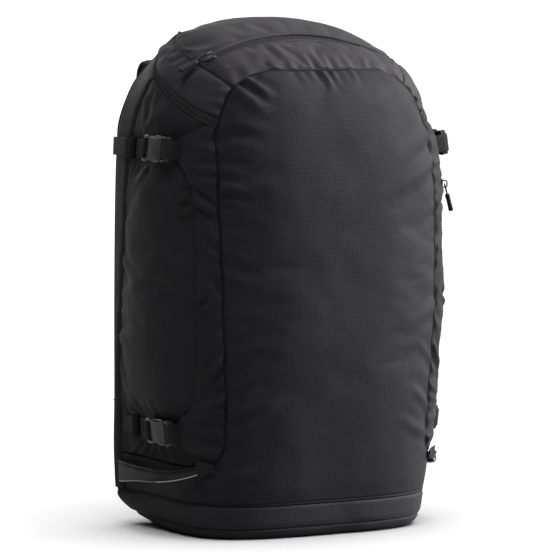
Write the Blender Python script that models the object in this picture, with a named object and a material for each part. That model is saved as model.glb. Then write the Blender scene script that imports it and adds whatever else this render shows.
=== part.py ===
# Backpack-style ski boot bag: soft panels on one shared outer surface, a lid that
# folds forward, zip sliders, side compression straps with release buckles,
# ski loops, padded back and shoulder straps.  Metres, +Z up, front faces -Y.
import bpy
import math
import numpy as np
from mathutils import Vector, Matrix
from mathutils.geometry import tessellate_polygon

for old in list(bpy.data.objects):
    bpy.data.objects.remove(old, do_unlink=True)

# ---------------------------------------------------------------- dimensions
# Outer surface: one row per height station v.  Each row is a U round the front
# and sides, closed by a straight run across the back.
#  v     front y   front z  back y  back z  half w  power  g0    taper  crown
STATIONS = (
    (0.00, -0.0920, 0.000, 0.088, 0.000, 0.136, 3.4, 0.45, 0.15, 0.000),
    (0.03, -0.0990, 0.010, 0.094, 0.012, 0.145, 3.4, 0.45, 0.05, 0.000),
    (0.07, -0.1030, 0.034, 0.098, 0.036, 0.151, 3.3, 0.45, -0.065, 0.000),
    (0.12, -0.1074, 0.0636, 0.098, 0.067, 0.1555, 3.15, 0.44, -0.050, 0.000),
    (0.25, -0.1170, 0.140, 0.094, 0.150, 0.166, 2.9, 0.42, 0.005, 0.000),
    (0.45, -0.1240, 0.255, 0.090, 0.290, 0.1755, 2.7, 0.42, 0.050, 0.000),
    (0.65, -0.1210, 0.370, 0.087, 0.440, 0.1715, 2.7, 0.42, 0.043, 0.000),
    (0.70, -0.1185, 0.398, 0.085, 0.488, 0.166, 2.7, 0.42, 0.11, 0.000),
    (0.75, -0.1150, 0.425, 0.084, 0.524, 0.157, 2.7, 0.42, 0.27, 0.000),
    (0.84, -0.1010, 0.478, 0.082, 0.541, 0.1410, 2.8, 0.42, 0.30, 0.002),
    (0.89, -0.0850, 0.504, 0.081, 0.548, 0.1285, 2.8, 0.42, 0.29, 0.005),
    (0.95, -0.0360, 0.538, 0.080, 0.554, 0.1140, 2.85, 0.42, 0.20, 0.010),
    (1.00, 0.0300, 0.561, 0.079, 0.558, 0.1025, 3.1, 0.42, 0.12, 0.0135),
    (1.06, 0.0620, 0.563, 0.079, 0.560, 0.097, 3.1, 0.42, 0.08, 0.0145),
    (1.10, 0.0785, 0.561, 0.079, 0.561, 0.093, 3.1, 0.42, 0.03, 0.0155),
)
SHELL = 0.0030            # wall of a fabric panel with its lining
WING_SHELL = 0.0022
WING_DROP = 0.0031        # side panel lies this far under the wing
TAPE = 0.0016
SEAM_V = 0.0012           # half gap at a cross seam, in v
SEAM_T = 0.0035           # half gap at an upright seam, in t
V_BASE = 0.077            # top of the base band
V_SKIRT = 0.1455          # top of the lower front panel
V_SPLIT = 0.770           # main zip and lid fold line
V_TAPE = 0.0115           # width of one zip tape, in v
# arch seam of the front panel: half position t at height v
ARCH = ((0.145, 0.480), (0.165, 0.422), (0.200, 0.400), (0.275, 0.400), (0.505, 0.409),
        (0.655, 0.420), (0.770, 0.417), (0.800, 0.409), (0.830, 0.396), (0.855, 0.379),
        (0.880, 0.340), (0.892, 0.305), (0.900, 0.250))
# free edge of the side wing
WING = ((0.149, 0.500), (0.170, 0.535), (0.195, 0.572), (0.225, 0.575), (0.250, 0.522),
        (0.290, 0.497), (0.450, 0.490), (0.595, 0.495), (0.645, 0.507), (0.668, 0.540),
        (0.680, 0.568), (0.702, 0.570), (0.730, 0.512), (0.757, 0.452))
# seam between lid top and lid gusset: height v at position t
TOP_SEAM = ((0.379, 0.855), (0.500, 0.884), (0.640, 0.899), (0.800, 0.935), (1.000, 1.000))
# top zip: a circle arc standing on the lid
ZIP_APEX = (0.0, -0.0240, 0.5435)
ZIP_RADIUS = 0.280
ZIP_UP = (0.0, 0.250, 0.968)
ZIP_NORMAL = (0.0, -0.33, 0.944)
ZIP_HALF_DEG = 25.0
ZIP_HALF_W = 0.0062
ZIP_REST_DEG = -23.6      # slider at rest, at the left end
# straps
WEB = 0.020
WEB_T = 0.0015
STRAP_UPPER = (0.4235, -0.025)     # height, buckle centre y
STRAP_LOWER = (0.1165, -0.018)
BUCKLE_LIFT = 0.0027
BUCKLE_TRAVEL = 0.026
LOOP_Z = 0.0655
LOOP_BOW = 0.0165
PAD_EDGE, PAD_FULL = 0.0020, 0.0080
STRAP_PAD_W, STRAP_PAD_T = 0.060, 0.011
MAIN_PULL_DEG = 42.0      # how far the main pull stands off the back


# ---------------------------------------------------------------- helpers
def pchip(points):
    xk = np.array([p[0] for p in points], float)
    yk = np.array([p[1] for p in points], float)
    h = np.diff(xk)
    d = np.diff(yk) / h
    m = np.zeros(len(xk))
    for i in range(1, len(xk) - 1):
        if d[i - 1] * d[i] > 0:
            w1, w2 = 2 * h[i] + h[i - 1], h[i] + 2 * h[i - 1]
            m[i] = (w1 + w2) / (w1 / d[i - 1] + w2 / d[i])
    m[0], m[-1] = d[0], d[-1]

    def f(x):
        x = np.clip(np.asarray(x, float), xk[0], xk[-1])
        i = np.clip(np.searchsorted(xk, x, side="right") - 1, 0, len(xk) - 2)
        t = (x - xk[i]) / h[i]
        return ((2 * t**3 - 3 * t**2 + 1) * yk[i] + (t**3 - 2 * t**2 + t) * h[i] * m[i]
                + (-2 * t**3 + 3 * t**2) * yk[i + 1] + (t**3 - t**2) * h[i] * m[i + 1])
    return f


STATION_F = [pchip([(s[0], s[k]) for s in STATIONS]) for k in range(1, 10)]
arch_t = pchip(ARCH)
wing_t = pchip(WING)
top_v = pchip(TOP_SEAM)
V_TABLE = np.linspace(0.0, 1.1, 221)
T_TABLE = np.linspace(-1.5, 1.5, 601)


def u_row(v):
    yf, zf, yb, zb, a, n, g0, kb, cr = [float(f(v)) for f in STATION_F]
    ph = np.linspace(-math.pi / 2, math.pi / 2, 241)
    s, c = np.sin(ph), np.abs(np.cos(ph))
    h = np.sign(s) * np.abs(s) ** (2 / n)
    g = g0 + (1 - g0) * c ** (2 / n)
    q = np.linspace(0, 1, 40)[:-1]
    hb = 1 - kb * (1 - q) ** 2
    h = np.concatenate([-hb, h, hb[::-1]])
    g = np.concatenate([g0 * q, g, (g0 * q)[::-1]])
    p = np.stack([a * h, yb + (yf - yb) * g, zb + (zf - zb) * g - cr * h * h], 1)
    run = np.concatenate([[0], np.cumsum(np.linalg.norm(np.diff(p, axis=0), axis=1))])
    t = 2 * run / run[-1] - 1
    out = np.zeros((len(T_TABLE), 3))
    inside = np.abs(T_TABLE) <= 1
    for k in range(3):
        out[inside, k] = np.interp(T_TABLE[inside], t, p[:, k])
    back = ~inside
    hw = a * (1 - kb)
    x = np.sign(T_TABLE[back]) * hw * (1 - (np.abs(T_TABLE[back]) - 1) / 0.5)
    out[back] = np.stack([x, np.full(len(x), yb), zb - cr * (x / a) ** 2], 1)
    return out


TABLE = np.array([u_row(v) for v in V_TABLE])


def table_normals():
    k = 4
    loop = TABLE[:, :-1]
    dt = np.roll(loop, -k, axis=1) - np.roll(loop, k, axis=1)
    dt = np.concatenate([dt, dt[:, :1]], axis=1)
    pad = np.concatenate([TABLE[:1]] * 3 + [TABLE] + [TABLE[-1:]] * 3, axis=0)
    dv = pad[6:] - pad[:-6]
    n = np.cross(dt, dv)
    n /= np.linalg.norm(n, axis=2, keepdims=True) + 1e-12
    return n


NORMALS = table_normals()


def surf(v, t, off=0.0):
    """Points of the outer surface at (v, t), moved out along the normal."""
    v, t = np.broadcast_arrays(np.asarray(v, float), np.asarray(t, float))
    t = np.where(t > 1.5, t - 3.0, np.where(t < -1.5, t + 3.0, t))
    fi = np.clip(v / 1.1, 0, 1) * (len(V_TABLE) - 1)
    fj = np.clip((t + 1.5) / 3.0, 0, 1) * (len(T_TABLE) - 1)
    i = np.minimum(fi.astype(int), len(V_TABLE) - 2)
    j = np.minimum(fj.astype(int), len(T_TABLE) - 2)
    a, b = (fi - i)[..., None], (fj - j)[..., None]

    def mix(tab):
        return ((1 - a) * (1 - b) * tab[i, j] + (1 - a) * b * tab[i, j + 1]
                + a * (1 - b) * tab[i + 1, j] + a * b * tab[i + 1, j + 1])
    n = mix(NORMALS)
    n /= np.linalg.norm(n, axis=-1, keepdims=True)
    return mix(TABLE) + n * np.asarray(off, float)[..., None]


def v_at_z(t, z):
    """Height station where the surface at t has height z."""
    t, z = np.broadcast_arrays(np.asarray(t, float), np.asarray(z, float))
    lo, hi = np.zeros(t.shape), np.full(t.shape, 0.95)
    for _ in range(40):
        mid = 0.5 * (lo + hi)
        low = surf(mid, t)[..., 2] < z
        lo, hi = np.where(low, mid, lo), np.where(low, hi, mid)
    return 0.5 * (lo + hi)


def t_at_y(z, y, side):
    """Position t on the side face where the surface at height z has this y."""
    lo, hi = 0.45, 0.999
    for _ in range(40):
        mid = 0.5 * (lo + hi)
        if surf(v_at_z(side * mid, z), side * mid)[1] < y:
            lo = mid
        else:
            hi = mid
    return 0.5 * (lo + hi)


COLOURS = {
    "ripstop": (0.045, 0.042, 0.050), "side_weave": (0.030, 0.029, 0.033), "twill": (0.050, 0.048, 0.054),
    "base_fabric": (0.028, 0.027, 0.030), "webbing": (0.020, 0.020, 0.022), "buckle": (0.018, 0.018, 0.020),
    "zip_tape": (0.022, 0.022, 0.024), "slider": (0.030, 0.030, 0.032), "cord": (0.020, 0.020, 0.022),
    "grip": (0.016, 0.016, 0.018), "back_mesh": (0.030, 0.030, 0.033), "pad": (0.036, 0.035, 0.039),
}


def material(slot):
    mat = bpy.data.materials.get(slot)
    if mat is None:
        mat = bpy.data.materials.new(slot)
        mat.use_nodes = True
        bsdf = mat.node_tree.nodes["Principled BSDF"]
        bsdf.inputs["Base Color"].default_value = (*COLOURS[slot], 1)
        bsdf.inputs["Roughness"].default_value = 0.5 if slot in ("buckle", "grip", "slider") else 0.85
    return mat


def add(name, verts, faces, slot, smooth=True, origin=(0, 0, 0)):
    o = np.asarray(origin, float)
    mesh = bpy.data.meshes.new(name)
    mesh.from_pydata([tuple(np.asarray(p, float) - o) for p in verts], [], [tuple(int(k) for k in f) for f in faces])
    mesh.update()
    if smooth:
        mesh.polygons.foreach_set("use_smooth", [True] * len(mesh.polygons))
    mesh.materials.append(material(slot))
    obj = bpy.data.objects.new(name, mesh)
    obj.location = tuple(o)
    bpy.context.scene.collection.objects.link(obj)
    return obj


def slab(outer, inner, ring=False):
    """Verts and faces of a closed shell between two point grids (rows, columns, 3)."""
    nr, nc = outer.shape[:2]
    verts = np.concatenate([outer.reshape(-1, 3), inner.reshape(-1, 3)])
    k = nr * nc
    faces = []
    cols = nc if ring else nc - 1
    for i in range(nr - 1):
        for j in range(cols):
            a, b = i * nc + j, i * nc + (j + 1) % nc
            c, d = (i + 1) * nc + (j + 1) % nc, (i + 1) * nc + j
            faces += [(a, b, c, d), (k + d, k + c, k + b, k + a)]
    for j in range(cols):
        a, b = j, (j + 1) % nc
        faces.append((k + a, k + b, b, a))
        a, b = (nr - 1) * nc + j, (nr - 1) * nc + (j + 1) % nc
        faces.append((a, b, k + b, k + a))
    if not ring:
        for i in range(nr - 1):
            a, b = i * nc, (i + 1) * nc
            faces.append((a, b, k + b, k + a))
            a, b = i * nc + nc - 1, (i + 1) * nc + nc - 1
            faces.append((k + a, k + b, b, a))
    return verts, faces


def panel(name, v, t, slot, out=0.0, inn=-SHELL, ring=False):
    v, t = np.broadcast_arrays(np.asarray(v, float), np.asarray(t, float))
    out = np.broadcast_to(np.asarray(out, float), v.shape)
    inn = np.broadcast_to(np.asarray(inn, float), v.shape)
    verts, faces = slab(surf(v, t, out), surf(v, t, inn), ring)
    return add(name, verts, faces, slot)


def sweep(path, wide, thick, half_w, half_t, section):
    """Closed body along path; section points are (width, thickness) shares of the half sizes."""
    path = np.asarray(path, float)
    n, m = len(path), len(section)
    half_w = np.broadcast_to(np.asarray(half_w, float), (n,))
    half_t = np.broadcast_to(np.asarray(half_t, float), (n,))
    verts = []
    for k in range(n):
        for a, b in section:
            verts.append(path[k] + wide[k] * (a * half_w[k]) + thick[k] * (b * half_t[k]))
    faces = []
    for k in range(n - 1):
        for j in range(m):
            a, b = k * m + j, k * m + (j + 1) % m
            faces.append((a, b, b + m, a + m))
    faces.append(tuple(range(m - 1, -1, -1)))
    faces.append(tuple(range((n - 1) * m, n * m)))
    return np.array(verts), faces


def outward(verts, faces):
    """Faces turned so that the body's volume is positive."""
    verts = np.asarray(verts, float)
    total = 0.0
    for f in faces:
        for k in range(1, len(f) - 1):
            total += np.dot(verts[f[0]], np.cross(verts[f[k]], verts[f[k + 1]]))
    return faces if total > 0 else [tuple(reversed(f)) for f in faces]


SOFT_SECTION = [(1, 0), (0.94, 0.66), (0.66, 1), (-0.66, 1), (-0.94, 0.66), (-1, 0), (-0.94, -0.66), (-0.66, -1), (0.66, -1), (0.94, -0.66)]
FLAT_SECTION = [(1, -1), (1, 1), (-1, 1), (-1, -1)]
ROUND_SECTION = [(math.cos(2 * math.pi * k / 6), math.sin(2 * math.pi * k / 6)) for k in range(6)]


def frames(path, wide_hint):
    """Unit width and thickness directions along a path; width stays near wide_hint."""
    path = np.asarray(path, float)
    tang = np.gradient(path, axis=0)
    tang /= np.linalg.norm(tang, axis=1, keepdims=True)
    wide = np.broadcast_to(np.asarray(wide_hint, float), path.shape)
    wide = wide - tang * np.sum(wide * tang, axis=1, keepdims=True)
    wide = wide / np.linalg.norm(wide, axis=1, keepdims=True)
    return wide, np.cross(tang, wide)


def tube(points, r):
    """Round cord through points, as verts and faces."""
    points = np.asarray(points, float)
    hint = np.linalg.svd(points - points.mean(0))[2][2]
    wide, thick = frames(points, hint)
    verts, faces = sweep(points, wide, thick, r, r, ROUND_SECTION)
    return verts, outward(verts, faces)


def smooth_path(keys, n):
    keys = np.asarray(keys, float)
    run = np.concatenate([[0], np.cumsum(np.linalg.norm(np.diff(keys, axis=0), axis=1))])
    s = np.linspace(0, run[-1], n)
    return np.stack([pchip(list(zip(run, keys[:, k])))(s) for k in range(3)], 1)


def prism(outline, n0, n1, holes=()):
    """Flat outline (s, w) with holes, between heights n0 and n1.  Outline runs anticlockwise."""
    loops = [[Vector((x, y, 0)) for x, y in outline]] + [[Vector((x, y, 0)) for x, y in h] for h in holes]
    flat = [p for loop in loops for p in loop]
    tris = tessellate_polygon(loops)
    k = len(flat)
    verts = [(p.x, p.y, n0) for p in flat] + [(p.x, p.y, n1) for p in flat]
    faces = []
    up = sum((flat[b] - flat[a]).cross(flat[c] - flat[a]).z for a, b, c in tris) > 0
    for a, b, c in tris:
        a, b, c = (a, b, c) if up else (a, c, b)
        faces += [(a + k, b + k, c + k), (c, b, a)]
    start = 0
    for li, loop in enumerate(loops):
        area = sum(loop[i - 1].x * loop[i].y - loop[i].x * loop[i - 1].y for i in range(len(loop)))
        for i in range(len(loop)):
            a, b = start + i, start + (i + 1) % len(loop)
            if (area > 0) == (li == 0):
                faces.append((a, b, b + k, a + k))
            else:
                faces.append((b, a, a + k, b + k))
        start += len(loop)
    return np.array(verts), faces


def joined(bodies):
    """One closed body from several overlapping closed bodies, as verts and faces."""
    objs = []
    for verts, faces in bodies:
        objs.append(add("join_part", verts, faces, "buckle", False))
    base = objs[0]
    for other in objs[1:]:
        mod = base.modifiers.new("join", "BOOLEAN")
        mod.operation = "UNION"
        mod.solver = "EXACT"
        mod.object = other
    bpy.context.view_layer.update()
    dg = bpy.context.evaluated_depsgraph_get()
    ev = base.evaluated_get(dg)
    mesh = bpy.data.meshes.new_from_object(ev)
    verts = np.array([tuple(v.co) for v in mesh.vertices])
    faces = [tuple(p.vertices) for p in mesh.polygons]
    for o in objs:
        bpy.data.objects.remove(o, do_unlink=True)
    bpy.data.meshes.remove(mesh)
    return verts, faces


def placed(verts, faces, origin, s, w, n):
    """Local (s, w, n) points put in place; a left-handed set turns the faces."""
    m = np.stack([s, w, n], 0)
    out = np.asarray(verts) @ m + np.asarray(origin)
    if np.linalg.det(m) < 0:
        faces = [tuple(reversed(f)) for f in faces]
    return out, faces


JOINTS = {}
SIDES = (("left", -1), ("right", 1))

# ---------------------------------------------------------------- main body
rows = np.concatenate([[V_SKIRT + SEAM_V, 0.165, 0.185, 0.21], np.linspace(0.26, 0.70, 8), [0.740, V_SPLIT - SEAM_V]])
cols = np.linspace(-1, 1, 13)
panel("front_panel", rows[:, None], cols[None, :] * (arch_t(rows)[:, None] - SEAM_T), "ripstop")

skirt_t = np.concatenate([[-0.985, -0.94, -0.85, -0.73], np.linspace(-0.62, -0.24, 10), [-0.12, 0.0, 0.12], np.linspace(0.24, 0.62, 10), [0.73, 0.85, 0.94, 0.985]])
panel("lower_front_panel", np.linspace(V_BASE + SEAM_V, V_SKIRT - SEAM_V, 3)[:, None], skirt_t[None, :], "ripstop")

ring_t = np.concatenate([[-1.5, -1.25, -1.04, -1.0, -0.96, -0.85, -0.7], np.linspace(-0.60, -0.26, 9), [-0.12, 0.0, 0.12], np.linspace(0.26, 0.60, 9), [0.7, 0.85, 0.96, 1.0, 1.04, 1.25]])
panel("base_band", np.array([0.0, 0.012, 0.03, V_BASE - SEAM_V])[:, None], ring_t[None, :], "base_fabric", ring=True)

rim = surf(0.0, ring_t)
nxt, prv = np.roll(rim, -1, axis=0), np.roll(rim, 1, axis=0)
edge = nxt - prv
side_out = np.stack([edge[:, 1], -edge[:, 0], np.zeros(len(edge))], 1)
side_out /= np.linalg.norm(side_out, axis=1, keepdims=True)
inset = rim - side_out * 0.0062
verts, faces = prism([(p[0], p[1]) for p in inset], 0.0, 0.0040)
add("base_panel", verts, outward(verts, faces), "base_fabric", smooth=False)

side_rows = np.concatenate([[V_SKIRT + SEAM_V, 0.17, 0.20, 0.24], np.linspace(0.29, 0.64, 6), [0.685, 0.725, V_SPLIT - V_TAPE - 2 * SEAM_V]])
wing_rows = np.array([0.1515, 0.158, 0.170, 0.182, 0.195, 0.210, 0.225, 0.238, 0.250, 0.27, 0.29, 0.34, 0.40, 0.46, 0.52, 0.57,
                      0.61, 0.645, 0.657, 0.668, 0.680, 0.692, 0.702, 0.716, 0.730, 0.744, V_SPLIT - V_TAPE - 2 * SEAM_V])
for side, sg in SIDES:
    share = np.linspace(0, 1, 9) ** 0.9
    t = (arch_t(side_rows)[:, None] + SEAM_T) * (1 - share) + 0.985 * share
    drop = -WING_DROP * (1 - np.clip((t - 0.60) / 0.12, 0, 1) ** 2 * (3 - 2 * np.clip((t - 0.60) / 0.12, 0, 1)))
    t, drop = (t, drop) if sg > 0 else (t[:, ::-1], drop[:, ::-1])
    panel(side + "_side_panel", side_rows[:, None], sg * t, "side_weave", drop, drop - SHELL)
    share = np.linspace(0, 1, 4)
    t = (arch_t(wing_rows)[:, None] + SEAM_T) * (1 - share) + wing_t(wing_rows)[:, None] * share
    t = t if sg > 0 else t[:, ::-1]
    panel(side + "_wing", wing_rows[:, None], sg * t, "ripstop", 0.0, -WING_SHELL)

# main zip: tapes round the sides and the back, either side of the split
zip_half = np.concatenate([np.linspace(0.417 + SEAM_T, 0.97, 13), [1.0, 1.04, 1.25, 1.5]])
zip_t = np.concatenate([zip_half, -zip_half[::-1][1:]])
panel("main_zip_lower", np.array([V_SPLIT - V_TAPE, V_SPLIT - SEAM_V])[:, None], zip_t[None, :], "zip_tape", 0.0, -TAPE)
panel("main_zip_upper", np.array([V_SPLIT + SEAM_V, V_SPLIT + V_TAPE])[:, None], zip_t[None, :], "zip_tape", 0.0, -TAPE)

# ---------------------------------------------------------------- back
back_t = np.concatenate([np.linspace(1.006, 1.06, 4), np.linspace(1.15, 1.5, 4), np.linspace(-1.5, -1.15, 4)[1:], np.linspace(-1.06, -1.006, 4)])
back_v = np.concatenate([[V_BASE + SEAM_V, 0.09, 0.11], np.linspace(0.17, 0.65, 6), [0.69, 0.725, V_SPLIT - V_TAPE - 0.0085]])


def pad_share(v, t, v0, v1, wv, t0, t1, wt):
    """0 at the pad's rim, 1 inside, for a pad between v0..v1 and |t| t0..t1."""
    a = np.clip(np.minimum(v - v0, v1 - v) / wv, 0, 1)
    b = np.clip(np.minimum(np.abs(t) - t0, (t1 - np.abs(t)) if t1 < 1.5 else 9.0) / wt, 0, 1)
    return np.sqrt(np.clip(1 - (1 - a) ** 2, 0, 1)) * np.sqrt(np.clip(1 - (1 - b) ** 2, 0, 1))


vv, tt = np.meshgrid(back_v, back_t, indexing="ij")
lift = PAD_EDGE + (PAD_FULL - PAD_EDGE) * pad_share(vv, tt, back_v[0], back_v[-1], 0.03, 1.006, 1.5, 0.06)
panel("back_panel", vv, tt, "back_mesh", lift, -SHELL)
for side, sg in SIDES:
    v = np.concatenate([[0.262, 0.268, 0.28], np.linspace(0.34, 0.56, 4), [0.610, 0.622, 0.628]])
    t = np.concatenate([[1.110, 1.116, 1.130], np.linspace(1.18, 1.38, 4), [1.432, 1.446, 1.452]])
    t = t if sg > 0 else -t[::-1]
    vv, tt = np.meshgrid(v, t, indexing="ij")
    lift = PAD_FULL + 0.0012 + 0.0090 * pad_share(vv, tt, v[0], v[-1], 0.02, 1.110, 1.452, 0.03)
    panel(side + "_back_pad", vv, tt, "pad", lift + 0.0008, PAD_FULL + 0.0006)
v = np.array([0.098, 0.104, 0.115, 0.135, 0.16, 0.185, 0.205, 0.216, 0.222])
t = np.concatenate([np.linspace(1.040, 1.075, 3), np.linspace(1.14, 1.5, 4), np.linspace(-1.5, -1.14, 4)[1:], np.linspace(-1.075, -1.040, 3)])
vv, tt = np.meshgrid(v, t, indexing="ij")
lift = PAD_FULL + 0.0020 + 0.0210 * pad_share(vv, tt, v[0], v[-1], 0.045, 1.040, 1.5, 0.07)
panel("lumbar_pad", vv, tt, "pad", lift, PAD_FULL + 0.0006)

# ---------------------------------------------------------------- shoulder straps
for side, sg in SIDES:
    path = smooth_path([(sg * 0.085, 0.1030, 0.497), (sg * 0.085, 0.1085, 0.5105), (sg * 0.0848, 0.1195, 0.5140), (sg * 0.0842, 0.1320, 0.5060),
                        (sg * 0.083, 0.1390, 0.483), (sg * 0.081, 0.1430, 0.440), (sg * 0.084, 0.1440, 0.370),
                        (sg * 0.097, 0.1410, 0.290), (sg * 0.112, 0.1340, 0.222)], 24)
    wide, thick = frames(path, (1, 0, 0))
    share = np.linspace(0, 1, 24)
    verts, faces = sweep(path, wide, thick, STRAP_PAD_W / 2 * (1 - 0.28 * np.clip((share - 0.7) / 0.3, 0, 1) ** 2),
                         STRAP_PAD_T / 2 * (0.62 + 0.38 * np.clip(share / 0.2, 0, 1) - 0.25 * np.clip((share - 0.9) / 0.1, 0, 1)), SOFT_SECTION)
    add(side + "_shoulder_strap", verts, outward(verts, faces), "pad")
    # strap adjuster: a two-slot frame below the pad
    end = np.array((sg * 0.1148, 0.1316, 0.2085))
    aim = np.array((sg * 0.0235, -0.0235, -0.080))
    aim /= np.linalg.norm(aim)
    wide_d = np.array((1.0, 0, 0)) - aim * aim[0]
    wide_d /= np.linalg.norm(wide_d)
    face_d = np.cross(aim, wide_d)
    hole = 0.0108
    verts, faces = prism([(-0.002, -0.0155), (0.021, -0.0145), (0.0225, -0.013), (0.0225, 0.013), (0.021, 0.0145), (-0.002, 0.0155)], -0.0022, 0.0022,
                         [[(0.0015, -hole), (0.0015, hole), (0.0065, hole), (0.0065, -hole)], [(0.0125, -hole), (0.0125, hole), (0.0175, hole), (0.0175, -hole)]])
    verts, faces = placed(verts, faces, end, aim, wide_d, face_d)
    add(side + "_ladder_lock", verts, outward(verts, faces), "buckle", smooth=False)
    foot = np.array((sg * 0.1400, 0.1060, 0.1400))
    start = end + aim * 0.0235
    path = smooth_path([start, start * 0.66 + foot * 0.34 + np.array((0, 0.001, 0)), start * 0.3 + foot * 0.7 + np.array((0, 0.001, 0)), foot], 9)
    wide, thick = frames(path, wide_d)
    verts, faces = sweep(path, wide, thick, WEB / 2, WEB_T / 2, FLAT_SECTION)
    add(side + "_strap_webbing", verts, outward(verts, faces), "webbing", smooth=False)

# grab handle: a bowed band that lifts on its two sewn ends
HANDLE_AT = np.array((0.0, 0.1010, 0.4560))
q = np.linspace(0, 1, 17)
path = np.stack([-0.046 + 0.092 * q, HANDLE_AT[1] + 0.030 * np.sin(math.pi * q) ** 0.8, HANDLE_AT[2] - 0.004 * np.sin(math.pi * q)], 1)
wide, thick = frames(path, (0, 0, 1))
verts, faces = sweep(path, wide, thick, 0.0035 + 0.0075 * np.sin(math.pi * q) ** 0.6, 0.0014, FLAT_SECTION)
add("grab_handle", verts, outward(verts, faces), "webbing", origin=HANDLE_AT)
JOINTS["grab_handle_lift"] = ("hinge", HANDLE_AT, (1, 0, 0), (-20, 60))


# ---------------------------------------------------------------- side straps
def buckle_female():
    """Two plates joined at the front end; open at the rear and at both waists."""
    st = [-0.0060, -0.0030, 0.0010, 0.0060, 0.0110, 0.0150, 0.0190, 0.0250]
    wd = [0.0165, 0.0160, 0.0128, 0.0118, 0.0128, 0.0160, 0.0168, 0.0150]
    th, s0, s1, back = 0.0092, 0.0022, 0.0070, 5
    verts, ids = [], {}
    for k, (s, w) in enumerate(zip(st, wd)):
        crown = 0.0008 * math.sin(math.pi * (s + 0.006) / 0.031)
        for name, n in (("a", 0.0), ("b", s0), ("c", s1), ("d", th + crown)):
            for sg in (-1, 1):
                ids[k, name, sg] = len(verts)
                verts.append((s, sg * w, n))
    f = []
    last = len(st) - 1
    for k in range(last):
        q4 = lambda n1, g1, n2, g2: (ids[k, n1, g1], ids[k + 1, n1, g1], ids[k + 1, n2, g2], ids[k, n2, g2])
        f.append(q4("a", 1, "a", -1))
        f.append(q4("d", -1, "d", 1))
        if k < back:
            f.append(q4("b", -1, "b", 1))
            f.append(q4("c", 1, "c", -1))
            for n1, n2 in (("a", "b"), ("c", "d")):
                f.append(q4(n1, -1, n2, -1))
                f.append(q4(n2, 1, n1, 1))
        else:
            for n1, n2 in (("a", "b"), ("b", "c"), ("c", "d")):
                f.append(q4(n1, -1, n2, -1))
                f.append(q4(n2, 1, n1, 1))
    for n1, n2 in (("a", "b"), ("c", "d")):
        f.append((ids[0, n1, -1], ids[0, n2, -1], ids[0, n2, 1], ids[0, n1, 1]))
    f.append((ids[back, "b", -1], ids[back, "c", -1], ids[back, "c", 1], ids[back, "b", 1]))
    for n1, n2 in (("a", "b"), ("b", "c"), ("c", "d")):
        f.append((ids[last, n1, -1], ids[last, n1, 1], ids[last, n2, 1], ids[last, n2, -1]))
    return np.array(verts), outward(np.array(verts), f)


def buckle_male():
    """Webbing frame with two side prongs and a middle tongue."""
    hole = 0.0106
    body = prism([(-0.0250, -0.0142), (-0.0240, -0.0155), (-0.0090, -0.0165), (-0.0066, -0.0160), (-0.0066, 0.0160), (-0.0090, 0.0165), (-0.0240, 0.0155), (-0.0250, 0.0142)],
                 0.0006, 0.0084, [[(-0.0215, -hole), (-0.0215, hole), (-0.0165, hole), (-0.0165, -hole)]])
    bits = [body]
    for sg in (-1, 1):
        arm = [(-0.0085, 0.0112), (0.0060, 0.0100), (0.0120, 0.0090), (0.0142, 0.0098), (0.0136, 0.0126), (0.0090, 0.0158), (0.0062, 0.0152), (0.0056, 0.0132), (-0.0085, 0.0148)]
        arm = [(s, sg * w) for s, w in arm]
        bits.append(prism(arm if sg > 0 else arm[::-1], 0.0028, 0.0064))
    bits.append(prism([(-0.0085, -0.0022), (0.0090, -0.0016), (0.0090, 0.0016), (-0.0085, 0.0022)], 0.0032, 0.0060))
    bits = [(v, outward(v, f)) for v, f in bits]
    return joined(bits)


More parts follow.
